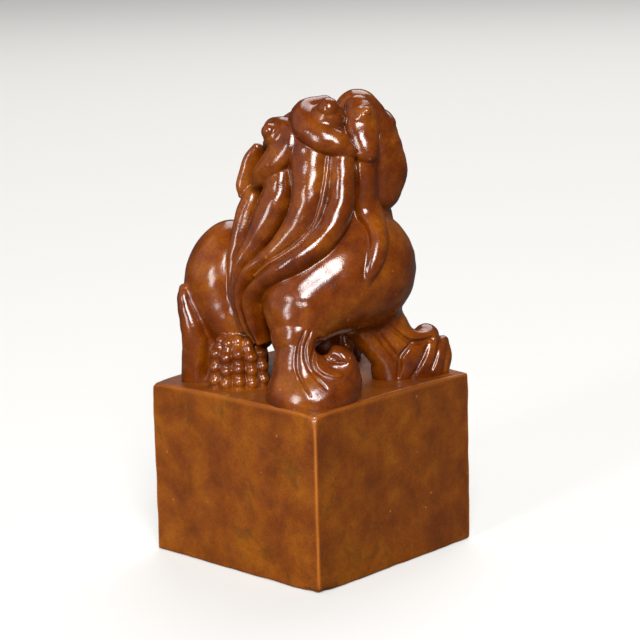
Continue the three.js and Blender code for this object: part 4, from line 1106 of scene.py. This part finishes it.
crevice, wear = surface_values(points)
for index, name in enumerate(masses):
    ours = all_owners == index + 1
    quads, walls = all_quads[ours], all_walls[ours]
    used, quads = np.unique(quads, return_inverse=True)
    quads = quads.reshape(-1, 4)
    at = points[used]
    face = np.cross(at[quads[:, 2]] - at[quads[:, 0]], at[quads[:, 3]] - at[quads[:, 1]])
    face /= np.maximum(np.linalg.norm(face, axis=1, keepdims=True), 1e-12)
    corner_normals = normals[used][quads]
    corner_normals[walls] = face[walls][:, None, :]
    piece = make_mesh(f"{name}_carved", at, quads, corner_normals.reshape(-1, 3),
                      {"crevice": crevice[used], "wear": wear[used]})
    hair = any(word in name for word in hair_words)
    piece.data.materials.append(hair_stone if hair else carved_stone)
    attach(piece, "root")
    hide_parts(name)

# The block comes last, because its top takes the darkening about the feet: dirt, and painted shade where the
# carving meets it. Its upright edges and its rim are painted pale, as rubbed wear and as a painted highlight.
crevice, _ = surface_values(block_points)
inner = np.clip((half - 0.3 - np.abs(block_points[:, :2]).max(1)) / 1.2, 0, 1)
crevice = crevice * inner * (block_points[:, 2] > block_top - 0.2)
side_gaps = half - np.abs(block_points[:, :2])
to_upright = np.maximum(side_gaps[:, 0], side_gaps[:, 1])
to_rim = np.maximum(side_gaps.min(1), np.abs(block_points[:, 2] - block_top))
# Pale along the upright edges and the rim: rubbed wear and a painted highlight.
wear_and_painted_highlight = np.maximum(np.clip(1.15 - to_upright / 0.4, 0, 1) * 0.8, np.clip(1.1 - to_rim / 0.35, 0, 1) * 0.35)
block = make_mesh("base_block_cut", block_points, block_quads, None, {"crevice": crevice, "wear": wear_and_painted_highlight})
block.data.materials.append(block_stone)
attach(block, "root")
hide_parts("base_block")

# The floor is plain pale paper that keeps the stone's shadow. It is paler to the camera than to the stone,
# so that the polish doesn't mirror it as white.
floor_side = 6.0
paper_lit, paper_seen, paper_glow = (0.07, 0.067, 0.063), (0.55, 0.545, 0.53), (0.36, 0.355, 0.345)
bpy.ops.mesh.primitive_grid_add(x_subdivisions=4, y_subdivisions=4, size=floor_side)
floor = bpy.context.object
floor.name = "floor"
floor.location.z = -0.0001
paper = bpy.data.materials.new("paper")
paper.use_nodes = True
tree = paper.node_tree
seen = node(tree, "LightPath").outputs["Is Camera Ray"]
sheet = tree.nodes["Principled BSDF"]
tree.links.new(mix(tree, seen, paper_lit, paper_seen), sheet.inputs["Base Color"])
tree.links.new(seen, sheet.inputs["Emission Strength"])
sheet.inputs["Emission Color"].default_value = (*paper_glow, 1)
sheet.inputs["Roughness"].default_value = 0.8
floor.data.materials.append(paper)

# The camera stands where the photograph's did, worked out from the block's corners in it: to the right of the
# seal's near corner and a little above the beast's feet.
azimuth, elevation, roll = radians(43.53), radians(11.72), radians(-1.464)
distance = 270.8 * mm
view_angle = radians(17.834)
aside, aim_height = 1.506, 30.875
target = Vector((cos(azimuth) * aside, sin(azimuth) * aside, aim_height)) * mm
back = Vector((sin(azimuth) * cos(elevation), -cos(azimuth) * cos(elevation), sin(elevation)))
level = Vector((cos(azimuth), sin(azimuth), 0))
upright = back.cross(level)
right = level * cos(roll) + upright * sin(roll)
up = upright * cos(roll) - level * sin(roll)
camera = bpy.data.objects.new("camera", bpy.data.cameras.new("camera"))
camera.data.angle = view_angle
camera.data.clip_start = 0.01
turned = Matrix((right, up, back)).transposed().to_4x4()
camera.matrix_world = Matrix.Translation(target + back * distance) @ turned
bpy.context.scene.collection.objects.link(camera)
bpy.context.scene.camera = camera

# A soft box in front and a smaller one to the left draw the long highlights down the mane. A broad weak lamp
# fills the left side, and another lights the side away from the camera.


def lamp(name, turn, height, away, size, power, tall=0):
    """A soft lamp, placed by its turn from the camera's side, its height angle and its distance."""
    made = bpy.data.objects.new(name, bpy.data.lights.new(name, "AREA"))
    made.data.shape = "RECTANGLE"
    made.data.size = size
    made.data.size_y = tall or size
    made.data.energy = power
    a, e = azimuth + radians(turn), radians(height)
    way = Vector((sin(a) * cos(e), -cos(a) * cos(e), sin(e)))
    made.location = target + way * away
    made.rotation_euler = way.to_track_quat("Z", "Y").to_euler()
    bpy.context.scene.collection.objects.link(made)


lamp("front", 4, 36, 1.0, 0.34, 11.5, 0.5)
lamp("left", -38, 14, 1.0, 0.18, 4.0, 0.5)
lamp("fill", -80, 34, 1.5, 1.8, 3.2)
lamp("back", 168, 52, 1.3, 0.9, 9.0)

# The room around is pale to the camera, and dim to the stone.
room_light = 0.08
world = bpy.data.worlds.new("studio")
bpy.context.scene.world = world
world.use_nodes = True
tree = world.node_tree
seen = node(tree, "LightPath").outputs["Is Camera Ray"]
strength = node(tree, "MapRange", Value=seen, To_Min=room_light, To_Max=1.0).outputs[0]
background = tree.nodes["Background"]
background.inputs["Color"].default_value = (1, 0.99, 0.97, 1)
tree.links.new(strength, background.inputs["Strength"])

bpy.context.scene.view_settings.view_transform = "Standard"
